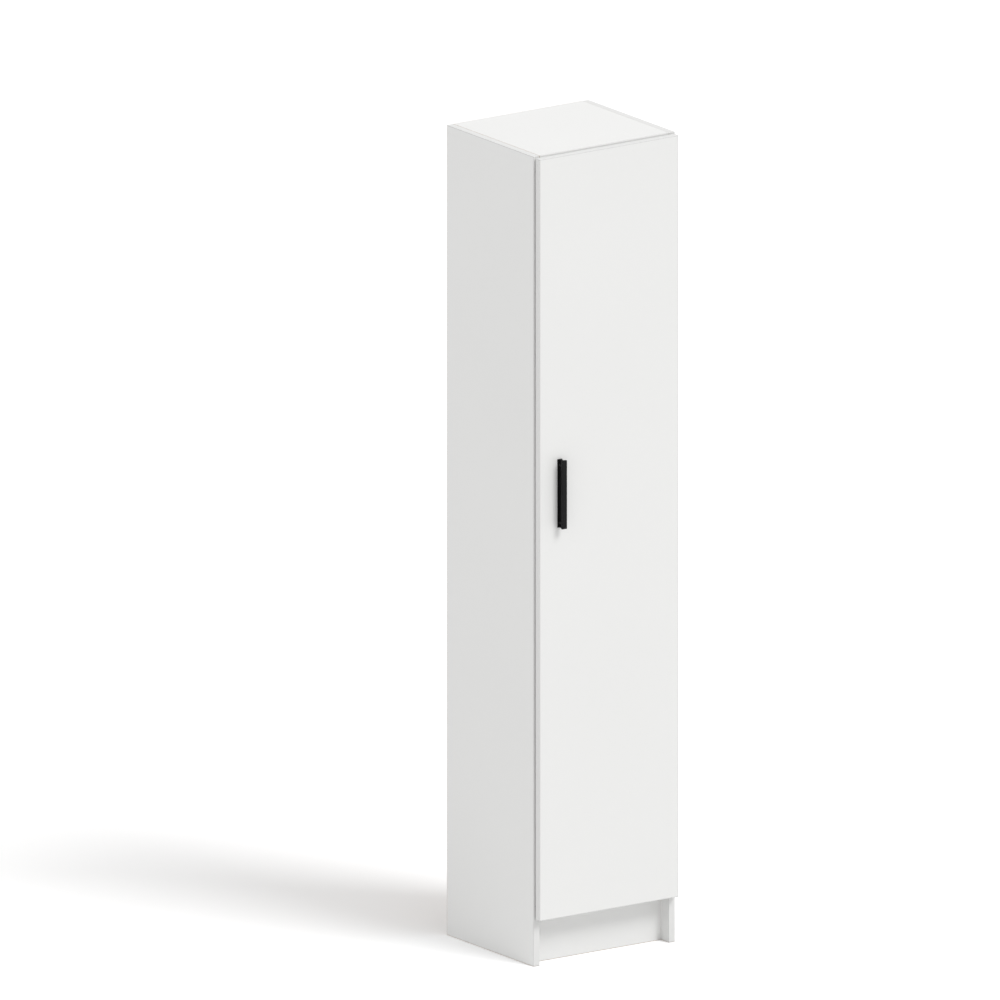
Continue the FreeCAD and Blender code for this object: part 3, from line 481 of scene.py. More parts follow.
@dataclass(frozen=True)
class Mottled(Finish):
    """A surface whose tone, roughness and relief are each a weighed sum of the same patterns."""

    colour: Colour
    roughness: Weights
    grains: tuple[Grain, ...]
    tone: Weights
    height: Weights
    depth: float
    fixed: tuple[tuple[str, float], ...] = ()

    def paint(self, graph: ShaderGraph) -> None:
        """Adds the patterns, what they change, and the numbers that are the same all over.

        Args:
            graph: The empty shader.
        """
        patterns = [graph.noise(grain) for grain in self.grains]
        graph.surface(
            Base_Color=graph.shade(self.colour, weighed(self.tone, *patterns)),
            Roughness=weighed(self.roughness, *patterns),
            Normal=graph.relief(weighed(self.height, *patterns), self.depth),
            **dict(self.fixed),
        )


@dataclass(frozen=True)
class PowderCoat(Mottled):
    """Baked black powder: slight wear, grit and a fine orange peel."""

    colour: Colour = (0.006, 0.006, 0.0065)
    roughness: Weights = (0.42, 0.1, 0.08)
    grains: tuple[Grain, ...] = (Grain(35.0, 3.0), Grain(4200.0, 2.0, 0.65), Grain(850.0, 1.5))
    tone: Weights = (0.7, 0.4, 0.2)
    height: Weights = (0.0, 0.0, 0.25, 0.75)
    depth: float = 0.00005
    fixed: tuple[tuple[str, float], ...] = (("Specular_IOR_Level", 0.14),)


@dataclass(frozen=True)
class PlatedSteel(Mottled):
    """Pressed or turned steel with a thin plating: cloudy, and faintly drawn along one axis."""

    grains: tuple[Grain, ...] = (Grain(120.0, 3.0, 0.55), Grain(2600.0, 2.0, 0.6, (1.0, 1.0, 0.08)))
    tone: Weights = (0.88, 0.16, 0.08)
    height: Weights = (0.0, 0.4, 0.6)
    depth: float = 0.00001
    fixed: tuple[tuple[str, float], ...] = (("Metallic", 1.0),)


@dataclass(frozen=True)
class CastMetal(PlatedSteel):
    """Die cast zinc: as cloudy as plating, and not drawn."""

    grains: tuple[Grain, ...] = (Grain(120.0, 3.0, 0.55), Grain(2600.0, 2.0, 0.6))


@dataclass(frozen=True)
class MouldedPlastic(Mottled):
    """Injection moulded plastic: a spark-eroded skin and faint flow marks."""

    colour: Colour = (0.76, 0.76, 0.73)
    roughness: Weights = (0.38, 0.12)
    grains: tuple[Grain, ...] = (Grain(1700.0, 2.0, 0.6), Grain(70.0, lie=(1.0, 1.0, 0.3)))
    tone: Weights = (0.95, 0.04, 0.06)
    height: Weights = (0.0, 1.0)
    depth: float = 0.00003


@dataclass(frozen=True)
class ClearRubber(Mottled):
    """Soft clear rubber of a self-adhesive pad, with the slight haze and dimples of casting."""

    colour: Colour = (0.90, 0.91, 0.91)
    roughness: Weights = (0.12, 0.14)
    grains: tuple[Grain, ...] = (Grain(400.0, 3.0),)
    tone: Weights = (0.92, 0.12)
    height: Weights = (0.0, 1.0)
    depth: float = 0.00004
    fixed: tuple[tuple[str, float], ...] = (("IOR", 1.46), ("Transmission_Weight", 0.85))


@dataclass(frozen=True)
class TurnedWood(Finish):
    """Pale close-grained hardwood, with its grain along X."""

    light: Colour = (0.66, 0.47, 0.30)
    dark: Colour = (0.43, 0.27, 0.15)
    grain: Grain = Grain(500.0, 4.0, 0.6, (0.05, 1.0, 1.0))
    grain_limits: tuple[float, float] = (0.3, 0.7)
    fleck_scale: float = 900.0
    fleck_lie: Scales = (0.12, 1.0, 1.0)
    fleck_limits: tuple[float, float] = (0.05, 0.3)
    tone: Weights = (0.75, 0.25)
    roughness: Weights = (0.55, 0.2)
    depth: float = 0.00006

    def paint(self, graph: ShaderGraph) -> None:
        """Adds the grain and its short dark flecks.

        Args:
            graph: The empty shader.
        """
        grain = graph.noise(self.grain)
        flecks = graph.cells(self.fleck_scale, "Distance", graph.stretched(self.fleck_lie))
        colour = graph.mix(grain.rise(*self.grain_limits), self.light, self.dark)
        graph.surface(
            Base_Color=graph.shade(colour, weighed(self.tone, flecks.rise(*self.fleck_limits))),
            Roughness=weighed(self.roughness, grain),
            Normal=graph.relief(grain, self.depth),
        )


@dataclass(frozen=True)
class StudioFloor(Finish):
    """Pale matt floor that shows white where nothing shades it, and keeps shadows."""

    colour: Colour = (0.80, 0.80, 0.80)
    cloud: Grain = Grain(0.9, 3.0)
    tone: Weights = (0.99, 0.02)
    lift: float = 0.42

    def paint(self, graph: ShaderGraph) -> None:
        """Adds a matt shader that is lighter for the camera than for the lamps.

        Args:
            graph: The empty shader.
        """
        tone = weighed(self.tone, graph.noise(self.cloud)) * (1.0 + self.lift * graph.seen())
        shader = graph.node("ShaderNodeBsdfDiffuse", inputs={"Color": graph.shade(self.colour, tone)})
        graph.node("ShaderNodeOutputMaterial", inputs={"Surface": shader.outputs[0]})


# Meshes


@dataclass(frozen=True)
class Ring:
    """One outline round the axis of a turned part: a circle, or a cross for a screwdriver."""

    height: float
    reach: float
    crossed: bool = False

    ARM: ClassVar[float] = 0.26  # half the width of a cross's arm, in reaches
    NEAR: ClassVar[float] = 1e-6  # radians within which a direction meets an arm's corner

    def angles(self) -> list[float]:
        """Directions of the outline's points.

        Returns:
            Angles in radians, with one at each corner of a cross.
        """
        corner = math.atan(self.ARM)
        half = [0.0, 0.5 * corner, corner, 0.5 * (corner + EIGHTH_TURN), EIGHTH_TURN]
        quarter = half + [QUARTER_TURN - angle for angle in reversed(half[1:-1])]
        return [angle + turn * QUARTER_TURN for turn in range(4) for angle in quarter]

    def extent(self, angle: float) -> float:
        """How far the outline reaches in one direction.

        Args:
            angle: The direction, in radians.

        Returns:
            Metres from the axis.
        """
        if not self.crossed:
            return self.reach
        off = abs((angle + EIGHTH_TURN) % QUARTER_TURN - EIGHTH_TURN)
        if off <= math.atan(self.ARM) + self.NEAR:
            return self.reach / math.cos(off)
        return self.ARM * self.reach / math.sin(off)

    def points(self) -> list[Vector]:
        """The outline's points, anticlockwise seen from above."""
        ends = [(self.extent(angle), angle) for angle in self.angles()]
        return [Vector((far * math.cos(turn), far * math.sin(turn), self.height)) for far, turn in ends]


def turned(name: str, rings: Sequence[Ring]) -> bpy.types.Mesh:
    """A closed turned part.

    Args:
        name: The mesh's name.
        rings: Its outlines, from its lower end to the middle of its upper face.

    Returns:
        The mesh, with its axis along Z.
    """
    shape = bmesh.new()
    loops = [[shape.verts.new(point) for point in ring.points()] for ring in rings]
    for lower, upper in zip(loops, loops[1:]):
        for index, corner in enumerate(lower):
            after = (index + 1) % len(lower)
            shape.faces.new((corner, lower[after], upper[after], upper[index]))
    shape.faces.new(list(reversed(loops[0])))
    middle = shape.verts.new((0.0, 0.0, rings[-1].height))
    for corner, after in zip(loops[-1], loops[-1][1:] + loops[-1][:1]):
        shape.faces.new((corner, after, middle))
    bmesh.ops.recalc_face_normals(shape, faces=shape.faces)
    mesh = bpy.data.meshes.new(name)
    shape.to_mesh(mesh)
    shape.free()
    mesh.shade_smooth()
    mesh.set_sharp_from_angle(angle=TURNED_SHARP_ANGLE)
    return mesh


@dataclass(frozen=True)
class Seat:
    """Where one fitting sits: the middle of its outer face, and the side that the face looks to."""

    place: Vector
    facing: Side
    length: float
    width: float


class Workshop:
    """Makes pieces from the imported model's nodes and puts them on its bodies."""

    def __init__(self, frame: Mapping[str, object]) -> None:
        self.nodes: Mapping[str, bpy.types.Object] = frame["nodes"]
        self.made: list[str] = []

    @staticmethod
    def cleaned(shape: bmesh.types.BMesh) -> bmesh.types.BMesh:
        """Joins a shape's corners and makes its flat faces whole.

        Args:
            shape: The shape, which is changed.

        Returns:
            The same shape.
        """
        bmesh.ops.remove_doubles(shape, verts=shape.verts, dist=MERGE_DISTANCE)
        bmesh.ops.dissolve_limit(shape, angle_limit=FLAT_ANGLE, verts=shape.verts, edges=shape.edges)
        return shape

    def merged(self, node: str) -> bmesh.types.BMesh:
        """Copies a node's mesh.

        Args:
            node: The node's name.

        Returns:
            The copy, cleaned.
        """
        shape = bmesh.new()
        shape.from_mesh(self.nodes[node].data)
        return self.cleaned(shape)

    def ends(self, node: str) -> dict[Side, float]:
        """The coordinate of each side of a node's box."""
        low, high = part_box(node)
        return {side: (high if side.sense > 0 else low)[side.axis] for side in Side}

    def planes(self, node: str, sides: Sequence[Side], inset: float) -> Planes:
        """Planes just inside some sides of a node, each with its side."""
        ends = self.ends(node)
        return tuple((side, ends[side] - side.sense * inset) for side in sides)

    @staticmethod
    def bounds_side(edge: bmesh.types.BMEdge, ends: Mapping[Side, float], sides: Sequence[Side]) -> bool:
        """Whether an edge runs along the outline of one of a board's sides.

        Args:
            edge: The edge.
            ends: The coordinate of each side of the board.
            sides: The sides that count.

        Returns:
            True where both ends lie on two sides or more, one of which counts.
        """
        shared = {
            side
            for side, end in ends.items()
            if all(abs(corner.co[side.axis] - end) < ON_SIDE for corner in edge.verts)
        }
        return len(shared) > 1 and not shared.isdisjoint(sides)

    @staticmethod
    def is_sharp(edge: bmesh.types.BMEdge, radius: float) -> bool:
        """Whether an edge is sharp, and long enough to be rounded by a radius."""
        sharp = len(edge.link_faces) == 2 and edge.calc_face_angle(0.0) > SHARP_ANGLE
        return sharp and edge.calc_length() > SHORTEST_EDGE * radius

    def softened(
        self, node: str, radius: float, steps: int, rounded: Optional[Sequence[Side]] = None
    ) -> bpy.types.Mesh:
        """A copy of a node with rounded edges.

        Args:
            node: The node's name.
            radius: How far the rounding reaches from an edge, in metres.
            steps: Flats across the rounding.
            rounded: Sides of a board whose outline is rounded, or None for every sharp edge.

        Returns:
            The new mesh.
        """
        shape = self.merged(node)
        if rounded is None:
            picked = [edge for edge in shape.edges if self.is_sharp(edge, radius)]
        else:
            ends = self.ends(node)
            picked = [edge for edge in shape.edges if self.bounds_side(edge, ends, rounded)]
        rounding = {"segments": steps, "profile": 0.5, "affect": "EDGES", "clamp_overlap": True}
        bmesh.ops.bevel(shape, geom=picked, offset=radius, offset_type="OFFSET", **rounding)
        mesh = bpy.data.meshes.new(node)
        self.cleaned(shape).to_mesh(mesh)
        shape.free()
        return mesh

    def islands(self, node: str) -> list[list[Vector]]:
        """Takes a node apart.

        Args:
            node: The node's name.

        Returns:
            The corners of each separate solid.
        """
        shape = self.merged(node)
        left, found = set(shape.verts), []
        while left:
            front, island = [left.pop()], []
            while front:
                corner = front.pop()
                island.append(corner.co.copy())
                near = {edge.other_vert(corner) for edge in corner.link_edges} & left
                left -= near
                front.extend(near)
            found.append(island)
        shape.free()
        return found

    @staticmethod
    def head_side(corners: Sequence[Vector], middle: Vector, span: Vector) -> Side:
        """The way that a long fitting's head looks.

        Args:
            corners: The fitting's corners.
            middle: The middle of its box.
            span: The size of its box.

        Returns:
            The side of its box at the wider end.
        """
        axis = max(range(3), key=lambda index: span[index])
        across = [index for index in range(3) if index != axis]
        widest = max(corners, key=lambda corner: sum((corner[i] - middle[i]) ** 2 for i in across))
        return Side((axis, 1 if widest[axis] > middle[axis] else -1))

    def seats(self, node: str, facing: Optional[Side] = None) -> list[Seat]:
        """Where each solid of a node sits.

        Args:
            node: The node's name.
            facing: The way that the outer face looks, or None for the end with the wider head.

        Returns:
            One seat for each solid.
        """
        found = []
        for corners in self.islands(node):
            low = Vector([min(corner[axis] for corner in corners) for axis in range(3)])
            high = Vector([max(corner[axis] for corner in corners) for axis in range(3)])
            middle, span = (low + high) / 2, high - low
            side = facing or self.head_side(corners, middle, span)
            width = span[1 if side.axis == 0 else 0]
            found.append(Seat(middle + side.way * span[side.axis] / 2, side, span[side.axis], width))
        return sorted(found, key=lambda seat: tuple(seat.place))

    def put(self, name: str, mesh: bpy.types.Mesh, finish: Finish, replaced: str) -> None:
        """Adds a piece that stands for a node and moves as it does.

        Args:
            name: The piece's name.
            mesh: Its mesh, already in place.
            finish: Its finish.
            replaced: The node that it stands for.
        """
        mesh.name = name
        mesh.materials.clear()
        mesh.materials.append(finish.material())
        piece = bpy.data.objects.new(name, mesh)
        bpy.context.scene.collection.objects.link(piece)
        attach(piece, self.nodes[replaced]["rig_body"])
        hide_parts(replaced)
        self.made.append(f"{name}, {len(mesh.polygons)} faces, in place of {replaced}")

    def dress(self, node: str, finish: Finish) -> None:
        """Gives a node that stays as it is a finish.

        Args:
            node: The node's name.
            finish: Its finish.
        """
        shown = self.nodes[node]
        if not shown.material_slots:
            shown.data.materials.append(finish.material())
        for slot in shown.material_slots:
            slot.material = finish.material()
        self.made.append(f"{node}, kept, in {finish.name}")


class FittingTree(NodeGraph):
    """Geometry Nodes that set one part on every seat, turned the way that the seat faces."""

    INPUTS: ClassVar[dict[str, str]] = {
        "Seats": "NodeSocketGeometry",
        "Part": "NodeSocketObject",
        "Finish": "NodeSocketMaterial",
        "Size": "NodeSocketFloat",
        "Largest Turn": "NodeSocketFloat",
        "Seed": "NodeSocketInt",
    }

    def __init__(self) -> None:
        """Makes the tree, its named inputs and its nodes."""
        super().__init__(bpy.data.node_groups.new("set_fittings", "GeometryNodeTree"))
        interface = self.tree.interface
        self.inputs = {
            name: interface.new_socket(name, in_out="INPUT", socket_type=kind).identifier
            for name, kind in self.INPUTS.items()
        }
        interface.new_socket("Fittings", in_out="OUTPUT", socket_type="NodeSocketGeometry")
        given = self.node("NodeGroupInput").outputs
        unmoved = {"transform_space": "ORIGINAL"}
        part = self.node("GeometryNodeObjectInfo", unmoved, {"Object": given["Part"]})
        placing = {
            "Points": given["Seats"],
            "Instance": part.outputs["Geometry"],
            "Rotation": self.turn(given["Largest Turn"], given["Seed"]),
            "Scale": given["Size"],
        }
        copies = self.node("GeometryNodeInstanceOnPoints", inputs=placing)
        real = self.node("GeometryNodeRealizeInstances", inputs={"Geometry": copies.outputs[0]})
        coating = {"Geometry": real.outputs[0], "Material": given["Finish"]}
        coated = self.node("GeometryNodeSetMaterial", inputs=coating)
        self.node("NodeGroupOutput", inputs={0: coated.outputs[0]})

    def turn(self, largest: bpy.types.NodeSocket, seed: bpy.types.NodeSocket) -> bpy.types.NodeSocket:
        """Adds the nodes that turn a copy.

        Args:
            largest: The most that a copy is turned on its axis, in radians.
            seed: The seed of these turns.

        Returns:
            The turn on the axis, and then from Z to the way that the seat faces.
        """
        facing = self.node(
            "GeometryNodeInputNamedAttribute", {"data_type": "FLOAT_VECTOR"}, {"Name": "facing"}
        )
        aimed = self.node(
            "FunctionNodeAlignRotationToVector", {"axis": "Z"}, {"Vector": facing.outputs["Attribute"]}
        )
        limits = {2: 0.0, 3: largest, "Seed": seed}  # 2, 3 and output 1 are the node's plain numbers
        angle = self.node("FunctionNodeRandomValue", {"data_type": "FLOAT"}, limits)
        spinning = {"Axis": (0.0, 0.0, 1.0), "Angle": angle.outputs[1]}
        spin = self.node("FunctionNodeAxisAngleToRotation", inputs=spinning)
        joined = {"Rotation": aimed.outputs[0], "Rotate By": spin.outputs[0]}
        return self.node("FunctionNodeRotateRotation", {"rotation_space": "LOCAL"}, joined).outputs[0]

    def mesh(
        self, part: bpy.types.Mesh, seats: Sequence[Seat], finish: Finish, largest_turn: float
    ) -> bpy.types.Mesh:
        """Sets a part on its seats.

        Args:
            part: The part, with its outer face at the origin and looking along Z.
            seats: Where it goes.
            finish: Its finish.
            largest_turn: The most that a copy is turned on its axis, in radians.

        Returns:
            One plain mesh of all the copies.
        """
        points = bpy.data.meshes.new("seats")
        points.from_pydata([seat.place for seat in seats], [], [])
        ways = points.attributes.new("facing", "FLOAT_VECTOR", "POINT")
        ways.data.foreach_set("vector", [number for seat in seats for number in seat.facing.way])
        holder = bpy.data.objects.new("seats", points)
        sample = bpy.data.objects.new("sample", part)
        for helper in (holder, sample):
            bpy.context.scene.collection.objects.link(helper)
        modifier = holder.modifiers.new("fittings", "NODES")
        modifier.node_group = self.tree
        numbers = {"Size": 1.0, "Largest Turn": largest_turn, "Seed": SEED}
        for name, given in {"Part": sample, "Finish": finish.material(), **numbers}.items():
            modifier[self.inputs[name]] = given
        bpy.context.view_layer.update()
        graph = bpy.context.evaluated_depsgraph_get()
        made = bpy.data.meshes.new_from_object(
            holder.evaluated_get(graph), preserve_all_data_layers=True, depsgraph=graph
        )
        holder.modifiers.remove(modifier)
        for helper in (holder, sample):
            bpy.data.objects.remove(helper)
        return made


# Sub-assemblies


class Lie(Enum):
    """The way that a board's chips lie, as factors for the drawing of its core."""

    UPRIGHT = (1.0, 1.0, 0.3)
    LEVEL = (0.3, 1.0, 1.0)


@dataclass(frozen=True)
class BoardKind:
    """How boards of one kind are dressed: their chips, and their rounded, banded and bare sides."""

    name: str
    nodes: tuple[str, ...]
    lie: Lie = Lie.LEVEL
    rounded: tuple[Side, ...] = (Side.FRONT,)
    banded: tuple[Side, ...] = (Side.FRONT,)
    bare: tuple[Side, ...] = (Side.REAR, Side.LEFT, Side.RIGHT)


@dataclass
class Carcass:
    """The boards that stand still, with softened edges, glue lines and bare rear edges."""

    workshop: Workshop
    edge_radius: float = 0.0012
    edge_steps: int = 3
    band: float = 0.0016
    skin: float = 0.0005
    back_skin: float = 0.0028
    back_core: Core = Core((0.33, 0.20, 0.11), (0.17, 0.10, 0.055), 420.0, chip_share=0.2)
    kinds: tuple[BoardKind, ...] = (
        BoardKind(
            "side",
            ("left_side_panel", "right_side_panel"),
            Lie.UPRIGHT,
            rounded=(Side.FRONT, Side.TOP),
            banded=(Side.FRONT, Side.TOP),
            bare=(Side.REAR, Side.UNDER),
        ),
        BoardKind("top", ("top_panel",), rounded=(Side.FRONT, Side.LEFT, Side.RIGHT)),
        BoardKind("bottom", ("bottom_panel",)),
        BoardKind("fixed_shelf", ("fixed_shelf",)),
        BoardKind("loose_shelf", ("lower_shelf", "middle_shelf", "upper_shelf")),
        BoardKind("plinth", ("plinth_board",), rounded=(), banded=(), bare=(Side.UNDER,)),
    )

    def build(self) -> None:
        """Makes every board of the carcass."""
        for kind in self.kinds:
            for node in kind.nodes:
                self.build_board(node, kind)
        self.build_back()

    def build_board(self, node: str, kind: BoardKind) -> None:
        """Makes one board.

        Args:
            node: The board's node.
            kind: How it is dressed.
        """
        finish = CoatedBoard(
            f"white_faced_{kind.name}_board",
            "white_board",
            core=Core(lie=kind.lie.value),
            bare=self.workshop.planes(node, kind.bare, self.skin),
            seams=self.workshop.planes(node, kind.banded, self.band),
        )
        mesh = self.workshop.softened(node, self.edge_radius, self.edge_steps, kind.rounded)
        self.workshop.put(f"{node}_faced", mesh, finish, node)

    def build_back(self) -> None:
        """Gives the thin back its white face inside and its bare face outside."""
        bare = self.workshop.planes("back_panel", (Side.REAR,), self.back_skin)
        finish = CoatedBoard("white_faced_fibreboard", "back_board", core=self.back_core, bare=bare)
        self.workshop.dress("back_panel", finish)


@dataclass
class Door:
    """The door board with its pull and bumpers. The dome's top is in radii of the bumper."""

    workshop: Workshop
    tree: FittingTree
    banded: tuple[Side, ...] = (Side.LEFT, Side.RIGHT, Side.UNDER, Side.TOP)
    edge_radius: float = 0.0011
    edge_steps: int = 4
    band: float = 0.0015
    handle_radius: float = 0.0005
    handle_steps: int = 3
    bumper_lip: float = 0.0004
    dome_steps: int = 6
    dome_power: float = 0.6
    dome_top: float = 0.12

    def build(self) -> None:
        """Makes the door's pieces."""
        seams = self.workshop.planes("door_panel", self.banded, self.band)
        board = CoatedBoard("white_faced_door_board", "white_board", seams=seams)
        mesh = self.workshop.softened("door_panel", self.edge_radius, self.edge_steps, self.banded)
        self.workshop.put("door_panel_faced", mesh, board, "door_panel")
        pull = self.workshop.softened("handle", self.handle_radius, self.handle_steps)
        self.workshop.put("handle_bar", pull, PowderCoat("black_powder_coat", "black_metal"), "handle")
        self.build_bumpers()

    def build_bumpers(self) -> None:
        """Makes the two domed pads at the door's free edge."""
        seats = self.workshop.seats("door_bumpers", Side.REAR)
        height, radius, lip = seats[0].length, seats[0].width / 2, self.bumper_lip
        rings = [Ring(-height, radius - lip), Ring(-height + lip / 2, radius), Ring(-height + lip, radius)]
        for step in range(1, self.dome_steps):
            angle = step * QUARTER_TURN / self.dome_steps
            reach = radius * math.cos(angle) ** self.dome_power
            rings.append(Ring(-(height - lip) * (1 - math.sin(angle)), reach))
        rings.append(Ring(0.0, self.dome_top * radius))
        finish = ClearRubber("clear_rubber_pad", "clear_rubber")
        mesh = self.tree.mesh(turned("bumper", rings), seats, finish, 0.0)
        self.workshop.put("door_bumpers_domed", mesh, finish, "door_bumpers")


@dataclass
class Hinges:
    """Three cup hinges in nickel, with the soft edges of pressed steel."""

    workshop: Workshop
    places: tuple[str, ...] = ("lower", "middle", "upper")
    pressed: tuple[str, ...] = ("cup", "arm", "plate", "outer_link", "inner_link")
    pins: tuple[str, ...] = ("hinge_arm_pins", "hinge_cup_pins")
    edge_radius: float = 0.0003
    edge_steps: int = 2
    finish: PlatedSteel = PlatedSteel(
        "nickel_plated_steel", "nickel_steel", (0.62, 0.60, 0.56), (0.20, 0.12, 0.08)
    )

    def build(self) -> None:
        """Makes the pressed parts and dresses the pins."""
        for node in [f"{place}_hinge_{part}" for place in self.places for part in self.pressed]:
            mesh = self.workshop.softened(node, self.edge_radius, self.edge_steps)
            mesh.shade_smooth()
            mesh.set_sharp_from_angle(angle=SHARP_ANGLE)
            self.workshop.put(f"{node}_pressed", mesh, self.finish, node)
        for node in self.pins:
            self.workshop.dress(node, self.finish)


class Head(Enum):
    """Shape of a screw's head: domed above its face, or sunk level with it.

    Each point is how far below the head's top it lies, in head heights, and its reach in head radii.
    """

    PAN = ((1.0, 0.96), (0.88, 1.0), (0.45, 1.0), (0.16, 0.88), (0.0, 0.6272))
    FLAT = ((0.16, 1.0), (0.05, 1.0), (0.0, 0.95), (0.0, 0.616))


@dataclass(frozen=True)
class ScrewKind:
    """One kind of cross-head screw. A head's height and a shank's radius are in metres.

    The tip's radius and length are in radii of the shank, and the recess is given as a head is.
    """

    node: str
    head: Head
    head_height: float
    shank: float
    tip_radius: float = 0.15
    tip_length: float = 1.6
    recess: Profile = ((0.12, 0.56), (0.62, 0.3472))

    def rings(self, seat: Seat) -> list[Ring]:
        """Outlines of the screw.

        Args:
            seat: A seat of this kind, for the length and the head's width.

        Returns:
            The outlines, from the tip to the floor of the recess.
        """
        radius, high = seat.width / 2, self.head_height
        tip = Ring(-seat.length, self.tip_radius * self.shank)
        shank = [Ring(self.tip_length * self.shank - seat.length, self.shank), Ring(-high, self.shank)]
        head = [Ring(-below * high, reach * radius) for below, reach in self.head.value]
        recess = [Ring(-below * high, reach * radius, True) for below, reach in self.recess]
        return [tip, *shank, *head, *recess]


@dataclass
class Fittings:
    """Screws, cams, bolts, dowels, pins, blocks and the wall bracket.

    The cams' face and recess are given as metres below the face, and reaches in radii of the cam.
    """

    workshop: Workshop
    tree: FittingTree
    zinc: PlatedSteel = PlatedSteel(
        "zinc_plated_steel", "zinc_steel", (0.58, 0.59, 0.61), (0.30, 0.12, 0.08)
    )
    cast: CastMetal = CastMetal("zinc_die_casting", "zinc_steel", (0.52, 0.53, 0.55), (0.42, 0.12, 0.08))
    wood: TurnedWood = TurnedWood("close_grained_dowel", "dowel_wood")
    plastic: MouldedPlastic = MouldedPlastic("white_moulded_plastic", "white_plastic")
    edge_steps: int = 2
    block_radius: float = 0.0006
    bracket_radius: float = 0.0003
    cam_rim: float = 0.0004
    cam_face: Profile = ((0.0, 0.86), (0.0003, 0.83), (0.0003, 0.70), (0.0, 0.67), (0.0, 0.50))
    cam_recess: Profile = ((0.0002, 0.46), (0.0028, 0.36))
    screws: tuple[ScrewKind, ...] = (
        ScrewKind("handle_screws", Head.PAN, 0.0026, 0.002),
        ScrewKind("hinge_cup_screws", Head.FLAT, 0.0022, 0.00175),
        ScrewKind("hinge_plate_screws", Head.PAN, 0.0023, 0.002),
        ScrewKind("hinge_adjusters", Head.PAN, 0.0022, 0.002),
        ScrewKind("plinth_block_screws", Head.PAN, 0.0022, 0.00175),
        ScrewKind("wall_bracket_screws", Head.PAN, 0.0022, 0.00175),
    )

    def build(self) -> None:
        """Makes or dresses every fitting."""
        for kind in self.screws:
            seats = self.workshop.seats(kind.node)
            screw = turned(kind.node, kind.rings(seats[0]))
            mesh = self.tree.mesh(screw, seats, self.zinc, QUARTER_TURN)
            self.workshop.put(f"{kind.node}_driven", mesh, self.zinc, kind.node)
        self.build_cams()
        self.workshop.dress("cam_bolts", self.zinc)
        self.workshop.dress("board_dowels", self.wood)
        self.workshop.dress("plinth_dowels", self.wood)
        self.workshop.dress("shelf_pins", self.zinc)
        blocks = self.workshop.softened("plinth_blocks", self.block_radius, self.edge_steps)
        self.workshop.put("plinth_blocks_moulded", blocks, self.plastic, "plinth_blocks")
        bracket = self.workshop.softened("wall_bracket", self.bracket_radius, self.edge_steps)
        self.workshop.put("wall_bracket_bent", bracket, self.zinc, "wall_bracket")

    def build_cams(self) -> None:
        """Makes the cams, each with a rim, a shallow ring and a cross recess in its outer face."""
        seats = self.workshop.seats("cam_locks", Side.UNDER)
        high, radius, rim = seats[0].length, seats[0].width / 2, self.cam_rim
        rings = [Ring(-high, radius - rim), Ring(-high + rim, radius), Ring(-rim, radius)]
        rings.append(Ring(0.0, radius - rim))
        rings += [Ring(-below, reach * radius) for below, reach in self.cam_face]
        rings += [Ring(-below, reach * radius, True) for below, reach in self.cam_recess]
        mesh = self.tree.mesh(turned("cam", rings), seats, self.cast, QUARTER_TURN)
        self.workshop.put("cam_locks_cast", mesh, self.cast, "cam_locks")


# Studio


@dataclass(frozen=True)
class Lamp:
    """A far soft lamp: where it stands as seen from the cabinet, its strength, its width in degrees."""

    name: str
    towards: tuple[float, float, float]
    strength: float
    width: float


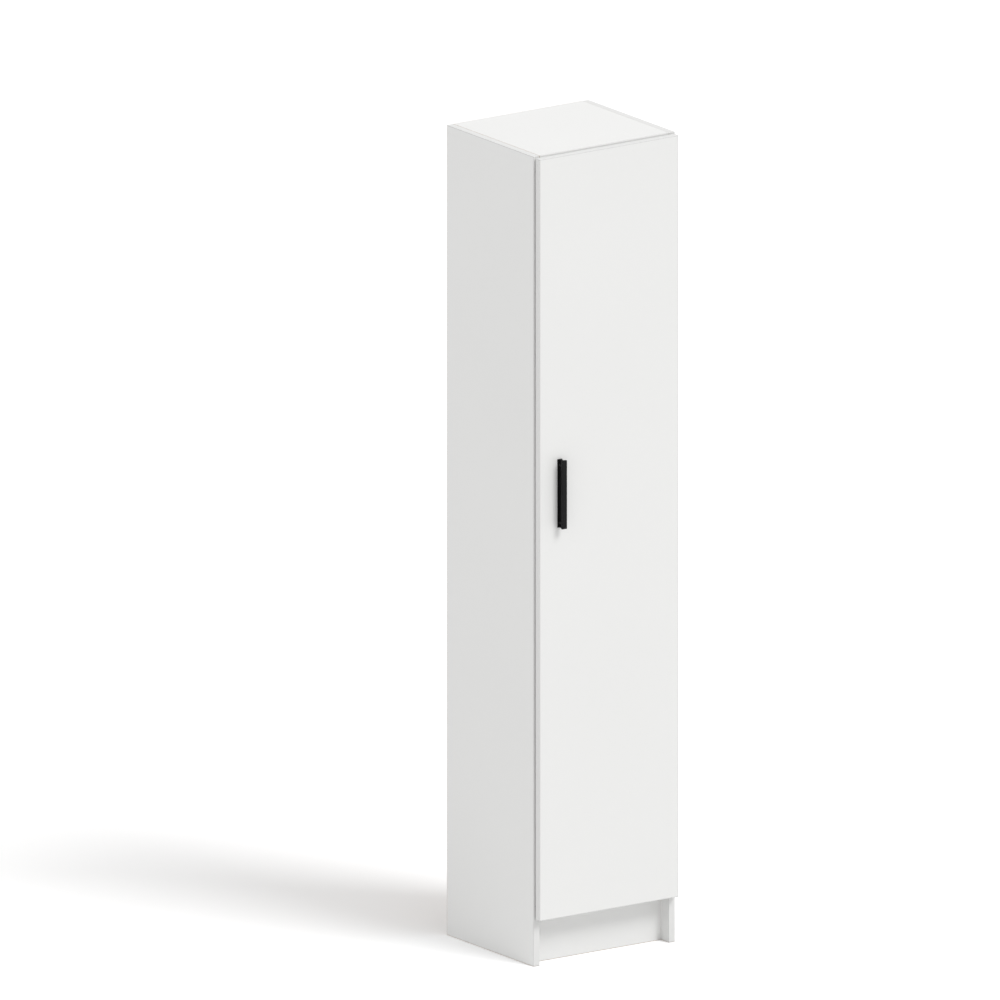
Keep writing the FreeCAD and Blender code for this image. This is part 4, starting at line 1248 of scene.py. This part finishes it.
@dataclass
class Studio:
    """Pale floor, soft light, and a camera without perspective that looks from the front left."""

    azimuth: float = -34.8
    elevation: float = 14.85
    pixels_per_metre: float = 465.5
    frame_pixels: float = 1000.0
    anchor: tuple[float, float, float] = (-0.185, 0.182, 0.0)
    anchor_pixel: tuple[float, float] = (446.95, 934.7)
    distance: float = 8.0
    farthest: float = 100.0
    floor_size: float = 60.0
    floor_drop: float = 0.0003
    light: Colour = (1.0, 1.0, 1.0)
    ambient: float = 0.64
    lamps: tuple[Lamp, ...] = (
        Lamp("key_softbox", (0.24, -0.60, 0.76), 1.38, 24.0),
        Lamp("rear_softbox", (-0.62, 0.62, 0.48), 0.42, 40.0),
    )

    def build(self) -> None:
        """Makes the camera, the lamps, the world and the floor."""
        scene = bpy.context.scene
        scene.view_settings.view_transform = "Standard"
        scene.camera = self.build_camera()
        scene.world = self.build_world()
        for lamp in self.lamps:
            self.build_lamp(lamp)
        self.build_floor()

    def build_camera(self) -> bpy.types.Object:
        """Makes the camera.

        Returns:
            The camera, placed so that the anchor falls on its pixel.
        """
        turn, rise = math.radians(self.azimuth), math.radians(self.elevation)
        back = Vector((math.sin(turn) * math.cos(rise), -math.cos(turn) * math.cos(rise), math.sin(rise)))
        aim = (-back).to_track_quat("-Z", "Y")
        right, up = aim @ Vector((1.0, 0.0, 0.0)), aim @ Vector((0.0, 1.0, 0.0))
        across = (self.frame_pixels / 2 - self.anchor_pixel[0]) / self.pixels_per_metre
        above = (self.anchor_pixel[1] - self.frame_pixels / 2) / self.pixels_per_metre
        data = bpy.data.cameras.new("camera")
        data.type = "ORTHO"
        data.ortho_scale = self.frame_pixels / self.pixels_per_metre
        data.clip_end = self.farthest
        camera = bpy.data.objects.new("camera", data)
        camera.location = Vector(self.anchor) + right * across + up * above + back * self.distance
        camera.rotation_mode = "QUATERNION"
        camera.rotation_quaternion = aim
        bpy.context.scene.collection.objects.link(camera)
        return camera

    def build_world(self) -> bpy.types.World:
        """Makes the world.

        Returns:
            An even soft light that the camera sees as white.
        """
        world = bpy.data.worlds.new("studio")
        world.use_nodes = True
        graph = NodeGraph(world.node_tree)
        strength = self.ambient + (1.0 - self.ambient) * graph.seen()
        shader = graph.node("ShaderNodeBackground", inputs={"Color": self.light, "Strength": strength})
        graph.node("ShaderNodeOutputWorld", inputs={"Surface": shader.outputs[0]})
        return world

    def build_lamp(self, lamp: Lamp) -> None:
        """Adds one soft lamp.

        Args:
            lamp: Its place, strength and width.
        """
        data = bpy.data.lights.new(lamp.name, "SUN")
        data.energy = lamp.strength
        data.angle = math.radians(lamp.width)
        light = bpy.data.objects.new(lamp.name, data)
        light.rotation_mode = "QUATERNION"
        light.rotation_quaternion = Vector(lamp.towards).to_track_quat("Z", "Y")
        bpy.context.scene.collection.objects.link(light)

    def build_floor(self) -> None:
        """Adds the floor under the cabinet's feet."""
        half, low = self.floor_size / 2, -self.floor_drop
        corners = [(-half, -half, low), (half, -half, low), (half, half, low), (-half, half, low)]
        mesh = bpy.data.meshes.new("studio_floor")
        mesh.from_pydata(corners, [], [(0, 1, 2, 3)])
        mesh.materials.append(StudioFloor("pale_studio_floor", "").material())
        floor = bpy.data.objects.new("studio_floor", mesh)
        bpy.context.scene.collection.objects.link(floor)


def main() -> None:
    """Builds the cabinet's looks and the studio, and logs each piece that it makes."""
    logging.basicConfig(level=logging.INFO, format="%(name)s: %(message)s")
    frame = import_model()
    workshop = Workshop(frame)
    tree = FittingTree()
    Studio().build()
    reported = 0
    for assembly in (Carcass(workshop), Door(workshop, tree), Hinges(workshop), Fittings(workshop, tree)):
        assembly.build()
        for piece in workshop.made[reported:]:
            LOG.info("%s: %s", type(assembly).__name__, piece)
        reported = len(workshop.made)
    LOG.info("%d pieces", reported)


if __name__ == "__main__":
    main()
